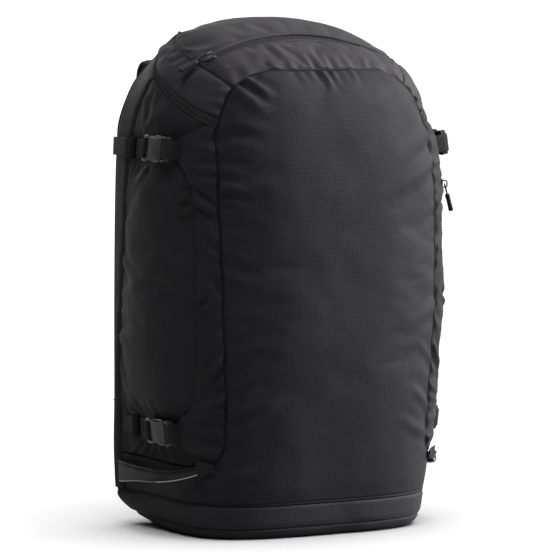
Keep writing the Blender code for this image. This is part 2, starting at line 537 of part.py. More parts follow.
FEMALE, MALE = buckle_female(), buckle_male()
for side, sg in SIDES:
    for level, (z, yc) in (("upper", STRAP_UPPER), ("lower", STRAP_LOWER)):
        tag = side + "_" + level
        t_mid = t_at_y(z, yc, sg)

        def strip(t0, t1, n, half, lo, hi):
            t = np.linspace(t0, t1, n)
            t = t if sg > 0 else -t[::-1]
            zz = np.array([z - half, z, z + half])
            vv = v_at_z(t[None, :] + 0 * zz[:, None], zz[:, None] + 0 * t[None, :])
            return vv, np.broadcast_to(t[None, :], vv.shape), hi, lo
        t_rear = t_at_y(z, yc + 0.013, sg)
        vv, tt, hi, lo = strip(t_rear, 0.992, 10, WEB / 2, 0.0006, 0.0006 + WEB_T)
        panel(tag + "_webbing", vv, tt, "webbing", hi, lo)
        t_keep = t_at_y(z, yc + 0.054, sg)
        vv, tt, hi, lo = strip(t_keep, t_keep + 0.044, 4, WEB / 2 + 0.0022, 0.0025, 0.0042)
        panel(tag + "_keeper", vv, tt, "webbing", hi, lo)
        t_a, t_b = t_at_y(z, yc - 0.038, sg), t_at_y(z, yc - 0.020, sg)
        vv, tt, hi, lo = strip(t_a, t_b, 5, WEB / 2, 0.0006, 0.0006 + WEB_T)
        panel(tag + "_stub", vv, tt, "webbing", hi, lo)
        # buckle frame: s runs to the front, n points off the side
        c0 = surf(v_at_z(sg * t_mid, z), sg * t_mid)
        up = surf(v_at_z(sg * t_mid, z + 0.012), sg * t_mid) - surf(v_at_z(sg * t_mid, z - 0.012), sg * t_mid)
        up[1] = 0
        w = up / np.linalg.norm(up)
        s = np.array((0.0, -1.0, 0.0))
        n = np.cross(s, w) * (1 if np.cross(s, w)[0] * sg > 0 else -1)
        near = [t_at_y(z, yc + d, sg) for d in (-0.02, -0.01, 0.0, 0.01, 0.02)]
        reach = max(np.dot(surf(v_at_z(sg * tn, z + h), sg * tn) - c0, n) for tn in near for h in (-0.015, 0.0, 0.015))
        origin = c0 + n * (reach + BUCKLE_LIFT)
        verts, faces = placed(*FEMALE, origin, s, w, n)
        add(tag + "_buckle_female", verts, faces, "buckle", smooth=False)
        verts, faces = placed(*MALE, origin, s, w, n)
        add(tag + "_buckle_male", verts, faces, "buckle", smooth=False, origin=origin)
        JOINTS[tag + "_buckle_slide"] = ("slide", origin, (0, 1, 0), (0, BUCKLE_TRAVEL))

# ---------------------------------------------------------------- ski loops
for side, sg in SIDES:
    q = np.linspace(0, 1, 19)
    t = 0.462 + (0.988 - 0.462) * q
    rise = np.clip((0.22 - q) / 0.22, 0, 1)
    mid = LOOP_Z + 0.017 * rise**1.5
    half = 0.0110 - 0.0035 * rise
    bow = 0.0012 + LOOP_BOW * np.sin(math.pi * np.clip(q * 1.02 - 0.02, 0, 1)) ** 0.75
    zz = np.stack([mid - half, mid, mid + half])
    tt = np.broadcast_to(t[None, :], zz.shape)
    bb = np.broadcast_to(bow[None, :], zz.shape)
    if sg < 0:
        zz, tt, bb = zz[:, ::-1], -tt[:, ::-1], bb[:, ::-1]
    # the band keeps the plan line of its middle, so it stands upright
    mid_v = v_at_z(tt[1], zz[1])
    line = surf(mid_v, tt[1])
    step = np.gradient(line, axis=0)
    flat_n = np.stack([step[:, 1], -step[:, 0], np.zeros(len(step))], 1)
    flat_n /= np.linalg.norm(flat_n, axis=1, keepdims=True)
    inner = np.stack([np.stack([line[:, 0], line[:, 1], zz[k]], 1) + flat_n * (bb[k] + (0.0022 if k == 2 else 0.0006))[:, None] for k in range(3)])
    outer = inner + flat_n[None] * 0.0026
    verts, faces = slab(outer, inner)
    add(side + "_ski_loop", verts, outward(verts, faces), "webbing")

# ---------------------------------------------------------------- lid
fold = surf(V_SPLIT, 0.0)
FOLD_AT = np.array((0.0, fold[1], fold[2]))
JOINTS["lid_fold"] = ("hinge", FOLD_AT, (1, 0, 0), (0, 100))


def lid_panel(name, v, t, slot, out=0.0, inn=-SHELL):
    v, t = np.broadcast_arrays(np.asarray(v, float), np.asarray(t, float))
    verts, faces = slab(surf(v, t, np.broadcast_to(out, v.shape)), surf(v, t, np.broadcast_to(inn, v.shape)))
    return add(name, verts, faces, slot, origin=FOLD_AT)


bpy.data.objects.remove(bpy.data.objects["main_zip_upper"], do_unlink=True)
lid_panel("main_zip_upper", np.array([V_SPLIT + SEAM_V, V_SPLIT + V_TAPE])[:, None], zip_t[None, :], "zip_tape", 0.0, -TAPE)
rows = np.array([V_SPLIT + SEAM_V, 0.79, 0.81, 0.83, 0.845, 0.857, 0.868, 0.878, 0.886, 0.892, 0.8965, 0.8990])
lid_panel("lid_front_panel", rows[:, None], cols[None, :] * (arch_t(rows)[:, None] - SEAM_T), "ripstop")

AXIS_U = np.array(ZIP_UP) / np.linalg.norm(ZIP_UP)
ZIP_C = np.array(ZIP_APEX) - ZIP_RADIUS * AXIS_U
ZIP_AXIS = np.cross(AXIS_U, (1.0, 0, 0))          # positive turns the apex towards +X
ZIP_N = np.array(ZIP_NORMAL) / np.linalg.norm(ZIP_NORMAL)


def turned(p, deg):
    r = Matrix.Rotation(math.radians(deg), 3, Vector(ZIP_AXIS))
    return np.array([r @ Vector(x) for x in (np.atleast_2d(p) - ZIP_C)]) + ZIP_C


def arc_vt(deg):
    """(v, t) of the surface point nearest the zip arc."""
    p = turned(ZIP_APEX, deg)[0]
    part = TABLE[160:, 160:441]
    i, j = np.unravel_index(np.argmin(np.sum((part - p) ** 2, axis=2)), part.shape[:2])
    return V_TABLE[160 + i], T_TABLE[160 + j]


arc = np.array([arc_vt(d) for d in np.linspace(-ZIP_HALF_DEG, ZIP_HALF_DEG, 41)])
arc_v = np.polyfit(arc[:, 1] ** 2, arc[:, 0], 3)
ARC_T = float(np.abs(arc[[0, -1], 1]).mean())


def zip_v(t):
    return np.polyval(arc_v, np.asarray(t) ** 2)


def zip_gap(t):
    """Half width of the zip slot, in v, at position t."""
    slope = np.polyval(np.polyder(arc_v), np.asarray(t) ** 2) * 2 * np.asarray(t)
    return 0.0090 * np.sqrt(1 + (4.2 * slope) ** 2)


a = np.linspace(-1, 1, 15)
arch_line_t = a * (0.379 - SEAM_T)
arch_keys = sorted((tk, vk) for vk, tk in ARCH if vk >= 0.855)
arch_line_v = np.where(np.abs(arch_line_t) <= 0.250, 0.900, pchip(arch_keys)(np.abs(arch_line_t))) + 2 * SEAM_V
b = np.linspace(0, 1, 5)[:, None]
front_zip_v = zip_v(a * ARC_T) - zip_gap(a * ARC_T)
top_t = arch_line_t * (1 - b) + a * (ARC_T - 0.012) * b
top_vv = np.maximum(arch_line_v * (1 - b) + front_zip_v * b, top_v(np.abs(top_t)) + 0.0060)
lid_panel("top_front_panel", top_vv, top_t, "twill")

b = np.linspace(0, 1, 9)
side_t = np.clip(ARC_T - 0.004 + (0.985 - ARC_T) * b / 0.55, 0, 0.985)
side_v = np.where(b < 0.55, top_v(side_t) + 0.0085 + 0.030 * np.clip(1 - b / 0.3, 0, 1), 1.0035 + (b - 0.55) / 0.45 * (1.094 - 1.0035))
mid_v = (zip_v(0) + 0.0080) + (1.094 - zip_v(0) - 0.0080) * b
curve = np.abs(a) ** 2.4
rear_v = mid_v[:, None] + (side_v - mid_v)[:, None] * curve[None, :]
rear_v[0] = np.maximum(zip_v(a * side_t[0]) + zip_gap(a * side_t[0]), rear_v[0])
lid_panel("top_rear_panel", rear_v, a[None, :] * side_t[:, None], "twill")

for side, sg in SIDES:
    share = np.linspace(0, 1, 9)[None, :]
    level = np.linspace(0, 1, 5)[:, None]
    v_low = V_SPLIT + V_TAPE + 2 * SEAM_V
    t_low = (0.417 + SEAM_T) * (1 - share) + 0.985 * share
    t_high = (0.379 + SEAM_T) * (1 - share) + 0.985 * share
    v_high = top_v(t_high) - 0.0045 - 0.0150 * np.clip((t_high - 0.75) / 0.25, 0, 1)
    vv = v_low + (v_high - v_low) * level
    # the front end follows the arch seam
    front = arch_t(np.clip(vv, 0.77, 0.855)) + SEAM_T
    tt = front * (1 - share) + 0.985 * share
    vv, tt = (vv, tt) if sg > 0 else (vv[:, ::-1], -tt[:, ::-1])
    lid_panel(side + "_top_gusset", vv, tt, "twill")

wall_t = np.concatenate([np.linspace(1.022, 1.5, 5), np.linspace(-1.5, -1.022, 5)[1:]])
lid_panel("lid_back_wall", np.array([V_SPLIT + V_TAPE + 2 * SEAM_V, 0.84, 0.90, 0.985])[:, None], wall_t[None, :], "twill")

# top zip tape: the apex section turned about the arc's axis
cross_w = np.cross(ZIP_N, (1.0, 0, 0))
degs = np.linspace(-ZIP_HALF_DEG, ZIP_HALF_DEG, 21)
grid_o, grid_i = [], []
for w in (-1, 0, 1):
    base = np.array(ZIP_APEX) + cross_w * w * ZIP_HALF_W
    grid_o.append([turned(base, d)[0] for d in degs])
    grid_i.append([turned(base - ZIP_N * TAPE, d)[0] for d in degs])
verts, faces = slab(np.array(grid_o), np.array(grid_i))
add("top_zip_tape", verts, outward(verts, faces), "zip_tape", origin=FOLD_AT)


# ---------------------------------------------------------------- zip sliders and pulls
def slider_body(across):
    """Slider with an arched bail, long axis s, on a tape at n = 0; across turns the bail's eye along the tape."""
    body = prism([(-0.0058, -0.0028), (0.0058, -0.0042), (0.0058, 0.0042), (-0.0058, 0.0028)], 0.0009, 0.0034)
    bail = prism([(-0.0042, 0.0030), (0.0034, 0.0030), (0.0034, 0.0072), (0.0024, 0.0084), (-0.0032, 0.0084), (-0.0042, 0.0074)], -0.0007, 0.0007,
                 [[(-0.0031, 0.0038), (-0.0031, 0.0073), (0.0023, 0.0073), (0.0023, 0.0038)]])
    bv, bf = bail
    if across:
        bv = np.stack([bv[:, 2], bv[:, 0] * 0.72, bv[:, 1]], 1)
    else:
        bv = np.stack([bv[:, 0], bv[:, 2], bv[:, 1]], 1)
    bodies = [(body[0], outward(body[0], body[1])), (bv, outward(bv, bf))]
    return joined(bodies)


def pull_cord(length, spread):
    """Cord loop through the bail: out along +s, both legs down to the grip."""
    pts = [(length, spread * 0.55, 0.0), (length * 0.6, spread, 0.0), (length * 0.28, spread * 0.9, 0.0), (0.0012, spread * 0.45, 0.0),
           (0.0, 0.0, 0.0),
           (0.0012, -spread * 0.45, 0.0), (length * 0.28, -spread * 0.9, 0.0), (length * 0.6, -spread, 0.0), (length, -spread * 0.55, 0.0)]
    return tube(smooth_path(pts, 17), 0.0006)


def grip_bar(start, length, half_w, half_t):
    """Moulded grip: rounded bar from start along +s."""
    s = start + length * np.array([0.0, 0.02, 0.10, 0.35, 0.7, 0.92, 0.985, 1.0])
    k = np.array([0.72, 0.86, 1.0, 0.90, 0.94, 1.0, 0.88, 0.70])
    path = np.stack([s, 0 * s, 0 * s], 1)
    wide = np.tile((0.0, 1.0, 0.0), (len(s), 1))
    thick = np.tile((0.0, 0.0, 1.0), (len(s), 1))
    verts, faces = sweep(path, wide, thick, half_w * k, half_t * k, SOFT_SECTION)
    return verts, outward(verts, faces)


SLIDER, SLIDER_ACROSS = slider_body(False), slider_body(True)
CORD_TOP = pull_cord(0.0165, 0.0045)
GRIP_TOP = grip_bar(0.0170, 0.0240, 0.0034, 0.0026)
CORD_SIDE = pull_cord(0.0110, 0.0036)
GRIP_SIDE = grip_bar(0.0114, 0.0200, 0.0032, 0.0026)

# top zip slider, turning about the arc's axis
at = turned(ZIP_APEX, ZIP_REST_DEG)[0]
n = turned(np.array(ZIP_APEX) + ZIP_N, ZIP_REST_DEG)[0] - at
s = turned(np.array(ZIP_APEX) + np.array((1.0, 0, 0)), ZIP_REST_DEG)[0] - at
w = np.cross(n, s)
verts, faces = placed(*SLIDER, at, s, w, n)
add("top_zip_slider", verts, outward(verts, faces), "slider", smooth=False, origin=ZIP_C)
JOINTS["top_slider_run"] = ("hinge", ZIP_C, tuple(ZIP_AXIS), (0, -2 * ZIP_REST_DEG))
pin = at + n * 0.0056 - s * 0.0004
# the pull lies back over the gusset, away from the zip
out_dir = np.array((-0.825, 0.100, -0.550))
out_dir /= np.linalg.norm(out_dir)
face_n = n - out_dir * np.dot(n, out_dir)
face_n /= np.linalg.norm(face_n)
side_d = np.cross(face_n, out_dir)
lift_dir = out_dir * math.cos(math.radians(10)) + face_n * math.sin(math.radians(10))
face_n = np.cross(lift_dir, side_d) * -1
face_n = face_n if np.dot(face_n, n) > 0 else -face_n
for nm, shape, slot in (("top_pull_cord", CORD_TOP, "cord"), ("top_pull_grip", GRIP_TOP, "grip")):
    verts, faces = placed(*shape, pin, lift_dir, side_d, face_n)
    add(nm, verts, outward(verts, faces), slot, origin=pin)
flip = np.cross(lift_dir, face_n)
JOINTS["top_pull_flip"] = ("hinge", pin, tuple(flip), (0, 100))

# right pocket slider, running down beside the wing
Z_TOP, POCKET_RUN = 0.3800, 0.120
t_run = 0.538
line = [surf(v_at_z(t_run, z), t_run, -WING_DROP) for z in np.linspace(Z_TOP, Z_TOP - POCKET_RUN, 13)]
at = np.array(line[0])
n = surf(v_at_z(t_run, Z_TOP - 0.06), t_run, 0.001) - surf(v_at_z(t_run, Z_TOP - 0.06), t_run, 0.0)
n[2] = 0
n /= np.linalg.norm(n)
clear = max(np.dot(p - at, n) for p in line)
at = at + n * (max(clear, 0) + 0.0006)
s = np.array((0.0, 0.0, 1.0))
w = np.cross(n, s)
verts, faces = placed(*SLIDER, at, s, w, n)
add("pocket_slider", verts, outward(verts, faces), "slider", smooth=False, origin=at)
JOINTS["pocket_slider_run"] = ("slide", at, (0, 0, -1), (0, POCKET_RUN))
pin = at + n * 0.0056 - s * 0.0004
hang = np.array((0.0, 0.0, -1.0)) * math.cos(math.radians(14)) + n * math.sin(math.radians(14))
face_n = n - hang * np.dot(n, hang)
face_n /= np.linalg.norm(face_n)
side_d = np.cross(face_n, hang)
for nm, shape, slot in (("pocket_pull_cord", CORD_SIDE, "cord"), ("pocket_pull_grip", GRIP_SIDE, "grip")):
    verts, faces = placed(*shape, pin, hang, side_d, face_n)
    add(nm, verts, outward(verts, faces), slot, origin=pin)
JOINTS["pocket_pull_flip"] = ("hinge", pin, tuple(np.cross(hang, face_n)), (0, 95))

# main zip slider across the back
at = surf(V_SPLIT, 1.5 - 0.5 * 0.30)
n = np.array((0.0, 1.0, 0.0))
at = at + n * 0.0003
s = np.array((-1.0, 0.0, 0.0))
w = np.cross(n, s)
verts, faces = placed(*SLIDER_ACROSS, at, s, w, n)
add("main_slider", verts, outward(verts, faces), "slider", smooth=False, origin=at)
JOINTS["main_slider_run"] = ("slide", at, (-1, 0, 0), (0, 2 * at[0]))
pin = at + n * 0.0056
hang = np.array((0.0, math.sin(math.radians(MAIN_PULL_DEG)), -math.cos(math.radians(MAIN_PULL_DEG))))
face_n = np.array((0.0, math.cos(math.radians(MAIN_PULL_DEG)), math.sin(math.radians(MAIN_PULL_DEG))))
side_d = np.cross(face_n, hang)
verts, faces = placed(*CORD_SIDE, pin, hang, side_d, face_n)
add("main_pull_cord", verts, outward(verts, faces), "cord", origin=pin)
verts, faces = placed(*GRIP_SIDE, pin, hang, side_d, face_n)
add("main_pull_grip", verts, outward(verts, faces), "grip", origin=pin)
JOINTS["main_pull_flip"] = ("hinge", pin, tuple(np.cross(hang, face_n)), (0, 110))
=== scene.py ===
# Looks of the ski boot bag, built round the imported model: sewn fabric panels with
# rolled seams, zips with coils, webbing, buckles, padded back and shoulder straps.
import bpy
import math
import numpy as np
from mathutils import Vector, Matrix
from mathutils.geometry import tessellate_polygon


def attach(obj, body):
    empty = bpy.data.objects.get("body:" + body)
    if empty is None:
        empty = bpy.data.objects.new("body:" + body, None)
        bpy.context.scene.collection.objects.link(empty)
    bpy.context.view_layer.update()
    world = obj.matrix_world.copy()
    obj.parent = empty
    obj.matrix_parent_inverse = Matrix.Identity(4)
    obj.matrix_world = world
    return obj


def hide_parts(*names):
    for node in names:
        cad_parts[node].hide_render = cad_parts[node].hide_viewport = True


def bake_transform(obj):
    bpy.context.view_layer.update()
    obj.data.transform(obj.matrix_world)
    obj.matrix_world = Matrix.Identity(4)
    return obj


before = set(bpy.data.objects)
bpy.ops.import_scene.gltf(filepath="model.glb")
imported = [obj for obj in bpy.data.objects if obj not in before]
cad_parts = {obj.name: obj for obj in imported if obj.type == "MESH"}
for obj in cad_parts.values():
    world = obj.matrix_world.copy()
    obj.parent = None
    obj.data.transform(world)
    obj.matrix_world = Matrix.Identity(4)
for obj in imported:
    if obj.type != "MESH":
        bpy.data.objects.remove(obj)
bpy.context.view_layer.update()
SIDES = (("left", -1), ("right", 1))

# ---------------------------------------------------------------- the bag's outer surface
#  v     front y   front z  back y  back z  half w  power  g0    taper  crown
STATIONS = (
    (0.00, -0.0920, 0.000, 0.088, 0.000, 0.136, 3.4, 0.45, 0.15, 0.000),
    (0.03, -0.0990, 0.010, 0.094, 0.012, 0.145, 3.4, 0.45, 0.05, 0.000),
    (0.07, -0.1030, 0.034, 0.098, 0.036, 0.151, 3.3, 0.45, -0.065, 0.000),
    (0.12, -0.1074, 0.0636, 0.098, 0.067, 0.1555, 3.15, 0.44, -0.050, 0.000),
    (0.25, -0.1170, 0.140, 0.094, 0.150, 0.166, 2.9, 0.42, 0.005, 0.000),
    (0.45, -0.1240, 0.255, 0.090, 0.290, 0.1755, 2.7, 0.42, 0.050, 0.000),
    (0.65, -0.1210, 0.370, 0.087, 0.440, 0.1715, 2.7, 0.42, 0.043, 0.000),
    (0.70, -0.1185, 0.398, 0.085, 0.488, 0.166, 2.7, 0.42, 0.11, 0.000),
    (0.75, -0.1150, 0.425, 0.084, 0.524, 0.157, 2.7, 0.42, 0.27, 0.000),
    (0.84, -0.1010, 0.478, 0.082, 0.541, 0.1410, 2.8, 0.42, 0.30, 0.002),
    (0.89, -0.0850, 0.504, 0.081, 0.548, 0.1285, 2.8, 0.42, 0.29, 0.005),
    (0.95, -0.0360, 0.538, 0.080, 0.554, 0.1140, 2.85, 0.42, 0.20, 0.010),
    (1.00, 0.0300, 0.561, 0.079, 0.558, 0.1025, 3.1, 0.42, 0.12, 0.0135),
    (1.06, 0.0620, 0.563, 0.079, 0.560, 0.097, 3.1, 0.42, 0.08, 0.0145),
    (1.10, 0.0785, 0.561, 0.079, 0.561, 0.093, 3.1, 0.42, 0.03, 0.0155),
)
SHELL = 0.0030
WING_DROP = 0.0031
V_BASE, V_SKIRT, V_SPLIT, V_TAPE = 0.077, 0.1455, 0.770, 0.0115
GAP_V, GAP_T = 0.0007, 0.0013
T_REAR = 0.954
# seam between the side panel and the padded edge: position t at height v
REAR = ((0.077, 0.950), (0.114, 0.955), (0.169, 0.962), (0.240, 0.966), (0.305, 0.962), (0.355, 0.952),
        (0.405, 0.935), (0.445, 0.924), (0.485, 0.914), (0.540, 0.904), (0.595, 0.899), (0.640, 0.890),
        (0.665, 0.872), (0.692, 0.857), (0.722, 0.828), (0.758, 0.788))
ARCH = ((0.145, 0.480), (0.165, 0.422), (0.200, 0.400), (0.275, 0.400), (0.505, 0.409),
        (0.655, 0.420), (0.770, 0.417), (0.800, 0.409), (0.830, 0.396), (0.855, 0.379),
        (0.880, 0.340), (0.892, 0.305), (0.900, 0.250))
WING = ((0.149, 0.500), (0.170, 0.535), (0.195, 0.572), (0.225, 0.575), (0.250, 0.522),
        (0.290, 0.497), (0.450, 0.490), (0.595, 0.495), (0.645, 0.507), (0.668, 0.540),
        (0.680, 0.568), (0.702, 0.570), (0.730, 0.512), (0.757, 0.452), (0.7665, 0.430))
TOP_SEAM = ((0.379, 0.855), (0.500, 0.884), (0.640, 0.899), (0.800, 0.935), (1.000, 1.000))
ZIP_APEX = (0.0, -0.0240, 0.5435)
ZIP_RADIUS = 0.280
ZIP_UP = (0.0, 0.250, 0.968)
ZIP_NORMAL = (0.0, -0.33, 0.944)
ZIP_HALF_DEG = 25.0
ZIP_HALF_W = 0.0062
ZIP_REST_DEG = -23.6
WEB, WEB_T = 0.020, 0.0015
STRAP_UPPER = (0.4235, -0.025)
STRAP_LOWER = (0.1165, -0.018)
BUCKLE_LIFT = 0.0027
LOOP_Z, LOOP_BOW = 0.0655, 0.0165
PAD_EDGE, PAD_FULL = 0.0020, 0.0080
STRAP_PAD_W, STRAP_PAD_T = 0.060, 0.011
MAIN_PULL_DEG = 42.0


def pchip(points):
    xk = np.array([p[0] for p in points], float)
    yk = np.array([p[1] for p in points], float)
    h = np.diff(xk)
    d = np.diff(yk) / h
    m = np.zeros(len(xk))
    for i in range(1, len(xk) - 1):
        if d[i - 1] * d[i] > 0:
            w1, w2 = 2 * h[i] + h[i - 1], h[i] + 2 * h[i - 1]
            m[i] = (w1 + w2) / (w1 / d[i - 1] + w2 / d[i])
    m[0], m[-1] = d[0], d[-1]

    def f(x):
        x = np.clip(np.asarray(x, float), xk[0], xk[-1])
        i = np.clip(np.searchsorted(xk, x, side="right") - 1, 0, len(xk) - 2)
        t = (x - xk[i]) / h[i]
        return ((2 * t**3 - 3 * t**2 + 1) * yk[i] + (t**3 - 2 * t**2 + t) * h[i] * m[i]
                + (-2 * t**3 + 3 * t**2) * yk[i + 1] + (t**3 - t**2) * h[i] * m[i + 1])
    return f


STATION_F = [pchip([(s[0], s[k]) for s in STATIONS]) for k in range(1, 10)]
arch_line, wing_t, top_v, rear_t = pchip(ARCH), pchip(WING), pchip(TOP_SEAM), pchip(REAR)


def arch_t(v):
    """Arch seam with the small waver of a sewn line."""
    v = np.asarray(v, float)
    w = 0.0013 * np.sin(v * 61 + 0.7) + 0.0009 * np.sin(v * 143 + 2.1)
    return arch_line(v) + w * np.clip((v - 0.17) / 0.05, 0, 1) * np.clip((0.885 - v) / 0.03, 0, 1)



V_TABLE = np.linspace(0.0, 1.1, 441)
T_TABLE = np.linspace(-1.5, 1.5, 1201)


def u_row(v):
    yf, zf, yb, zb, a, n, g0, kb, cr = [float(f(v)) for f in STATION_F]
    ph = np.linspace(-math.pi / 2, math.pi / 2, 241)
    s, c = np.sin(ph), np.abs(np.cos(ph))
    h = np.sign(s) * np.abs(s) ** (2 / n)
    g = g0 + (1 - g0) * c ** (2 / n)
    q = np.linspace(0, 1, 40)[:-1]
    hb = 1 - kb * (1 - q) ** 2
    h = np.concatenate([-hb, h, hb[::-1]])
    g = np.concatenate([g0 * q, g, (g0 * q)[::-1]])
    p = np.stack([a * h, yb + (yf - yb) * g, zb + (zf - zb) * g - cr * h * h], 1)
    run = np.concatenate([[0], np.cumsum(np.linalg.norm(np.diff(p, axis=0), axis=1))])
    t = 2 * run / run[-1] - 1
    out = np.zeros((len(T_TABLE), 3))
    inside = np.abs(T_TABLE) <= 1
    for k in range(3):
        out[inside, k] = np.interp(T_TABLE[inside], t, p[:, k])
    back = ~inside
    hw = a * (1 - kb)
    x = np.sign(T_TABLE[back]) * hw * (1 - (np.abs(T_TABLE[back]) - 1) / 0.5)
    out[back] = np.stack([x, np.full(len(x), yb), zb - cr * (x / a) ** 2], 1)
    return out


TABLE = np.array([u_row(v) for v in V_TABLE])


def table_normals():
    k = 8
    loop = TABLE[:, :-1]
    dt = np.roll(loop, -k, axis=1) - np.roll(loop, k, axis=1)
    dt = np.concatenate([dt, dt[:, :1]], axis=1)
    pad = np.concatenate([TABLE[:1]] * 6 + [TABLE] + [TABLE[-1:]] * 6, axis=0)
    dv = pad[12:] - pad[:-12]
    n = np.cross(dt, dv)
    n /= np.linalg.norm(n, axis=2, keepdims=True) + 1e-12
    return n


NORMALS = table_normals()
MID = len(T_TABLE) // 2
RUN_Y = np.concatenate([[0], np.cumsum(np.linalg.norm(np.diff(TABLE[:, MID], axis=0), axis=1))])
HALF_U = np.array([np.linalg.norm(np.diff(TABLE[i][200:1001], axis=0), axis=1).sum() / 2 for i in range(len(V_TABLE))])


def y_of(v):
    return np.interp(v, V_TABLE, RUN_Y)


def v_of(y):
    return np.interp(y, RUN_Y, V_TABLE)


def half_u(v):
    return np.interp(v, V_TABLE, HALF_U)


def point_normal(v, t):
    v, t = np.broadcast_arrays(np.asarray(v, float), np.asarray(t, float))
    t = np.where(t > 1.5, t - 3.0, np.where(t < -1.5, t + 3.0, t))
    fi = np.clip(v / 1.1, 0, 1) * (len(V_TABLE) - 1)
    fj = np.clip((t + 1.5) / 3.0, 0, 1) * (len(T_TABLE) - 1)
    i = np.minimum(fi.astype(int), len(V_TABLE) - 2)
    j = np.minimum(fj.astype(int), len(T_TABLE) - 2)
    a, b = (fi - i)[..., None], (fj - j)[..., None]

    def mix(tab):
        return ((1 - a) * (1 - b) * tab[i, j] + (1 - a) * b * tab[i, j + 1]
                + a * (1 - b) * tab[i + 1, j] + a * b * tab[i + 1, j + 1])
    n = mix(NORMALS)
    n /= np.linalg.norm(n, axis=-1, keepdims=True)
    return mix(TABLE), n


def surf(v, t, off=0.0):
    p, n = point_normal(v, t)
    return p + n * np.asarray(off, float)[..., None]


def v_at_z(t, z):
    t, z = np.broadcast_arrays(np.asarray(t, float), np.asarray(z, float))
    lo, hi = np.zeros(t.shape), np.full(t.shape, 0.95)
    for _ in range(36):
        mid = 0.5 * (lo + hi)
        low = surf(mid, t)[..., 2] < z
        lo, hi = np.where(low, mid, lo), np.where(low, hi, mid)
    return 0.5 * (lo + hi)


def t_at_y(z, y, side):
    lo, hi = 0.45, 0.999
    for _ in range(36):
        mid = 0.5 * (lo + hi)
        if surf(v_at_z(side * mid, z), side * mid)[1] < y:
            lo = mid
        else:
            hi = mid
    return 0.5 * (lo + hi)


# ---------------------------------------------------------------- small maths
def step01(x):
    x = np.clip(x, 0, 1)
    return x * x * (3 - 2 * x)


def noise(p, scale, seed=0):
    """Smooth value noise in -1..1 at points p, with cells of the given size in metres."""
    q = np.asarray(p, float) / scale + seed * 17.313
    i = np.floor(q).astype(np.int64)
    f = q - i
    f = f * f * f * (f * (f * 6 - 15) + 10)

    def h(dx, dy, dz):
        n = ((i[..., 0] + dx) * 374761393 + (i[..., 1] + dy) * 668265263 + (i[..., 2] + dz) * 1440662683 + seed * 97) & 0xFFFFFFFF
        n = ((n ^ (n >> 13)) * 1274126177) & 0xFFFFFFFF
        n = n ^ (n >> 16)
        return n / 2147483648.0 - 1.0
    out = 0
    for dx in (0, 1):
        for dy in (0, 1):
            for dz in (0, 1):
                w = (f[..., 0] if dx else 1 - f[..., 0]) * (f[..., 1] if dy else 1 - f[..., 1]) * (f[..., 2] if dz else 1 - f[..., 2])
                out = out + w * h(dx, dy, dz)
    return out


def smooth_path(keys, n):
    keys = np.asarray(keys, float)
    run = np.concatenate([[0], np.cumsum(np.linalg.norm(np.diff(keys, axis=0), axis=1))])
    s = np.linspace(0, run[-1], n)
    return np.stack([pchip(list(zip(run, keys[:, k])))(s) for k in range(3)], 1)


def even_path(points, spacing):
    points = np.asarray(points, float)
    run = np.concatenate([[0], np.cumsum(np.linalg.norm(np.diff(points, axis=0), axis=1))])
    n = max(2, int(round(run[-1] / spacing)) + 1)
    s = np.linspace(0, run[-1], n)
    return np.stack([np.interp(s, run, points[:, k]) for k in range(3)], 1)


def knots(length, step, lo=True, hi=True):
    """Shares 0..1 along a length, close together near the sewn ends."""
    near = np.array([0.0, 0.0005, 0.0011, 0.0019, 0.0030, 0.0046])
    near = near[near < length * 0.25]
    a = near if lo else near[:1]
    b = length - (near if hi else near[:1])[::-1]
    n = max(2, int(math.ceil((b[0] - a[-1]) / step)) + 1)
    return np.concatenate([a[:-1], np.linspace(a[-1], b[0], n), b[1:]]) / length


def roll(e, depth, width):
    """Edge that turns down into a seam: a quarter round."""
    q = np.clip(1 - e / width, 0, 1)
    return -depth * (1 - np.sqrt(np.clip(1 - q * q, 0, 1)))


# ---------------------------------------------------------------- meshes
def mesh_object(name, verts, faces, mat, weave=None, sharp=None, extra=()):
    """verts (n, 3); faces a list of index tuples, or arrays of them."""
    lists = []
    for f in (faces if isinstance(faces, list) and len(faces) and isinstance(faces[0], np.ndarray) else [faces]):
        lists += f.tolist() if isinstance(f, np.ndarray) else [list(x) for x in f]
    me = bpy.data.meshes.new(name)
    me.from_pydata(np.asarray(verts, float).tolist(), [], lists)
    me.update()
    me.polygons.foreach_set("use_smooth", np.ones(len(me.polygons), bool))
    if sharp is not None:
        me.set_sharp_from_angle(angle=math.radians(sharp))
    if weave is not None:
        w = np.zeros((len(me.vertices), 3), np.float32)
        w[:, :np.shape(weave)[1]] = weave
        me.attributes.new("weave", "FLOAT_VECTOR", "POINT").data.foreach_set("vector", w.ravel())
    me.materials.append(mat)
    ob = bpy.data.objects.new(name, me)
    bpy.context.scene.collection.objects.link(ob)
    return ob


def settle(ob, body, nodes=()):
    """The piece rides on a body and stands for CAD nodes, which it hides."""
    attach(ob, body)
    if nodes:
        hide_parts(*nodes)
    return ob


def grid_quads(nr, nc, base=0, ring=False):
    cols = nc if ring else nc - 1
    i = np.arange(nr - 1)[:, None] * nc
    j = np.arange(cols)[None, :]
    k = (j + 1) % nc
    return np.stack([i + j, i + k, i + nc + k, i + nc + j], -1).reshape(-1, 4) + base


def thicken(verts, quads, normals, thick):
    """Closed shell from an open skin: the skin, its copy moved in, and a rim."""
    n = len(verts)
    inner = verts - normals * np.broadcast_to(np.asarray(thick, float), (n,))[:, None]
    a = quads.ravel()
    b = np.roll(quads, -1, axis=1).ravel()
    key, back = a * n + b, b * n + a
    rim = ~np.isin(key, back)
    ra, rb = a[rim], b[rim]
    side = np.stack([rb, ra, ra + n, rb + n], 1)
    return np.concatenate([verts, inner]), np.concatenate([quads, quads[:, ::-1] + n, side])


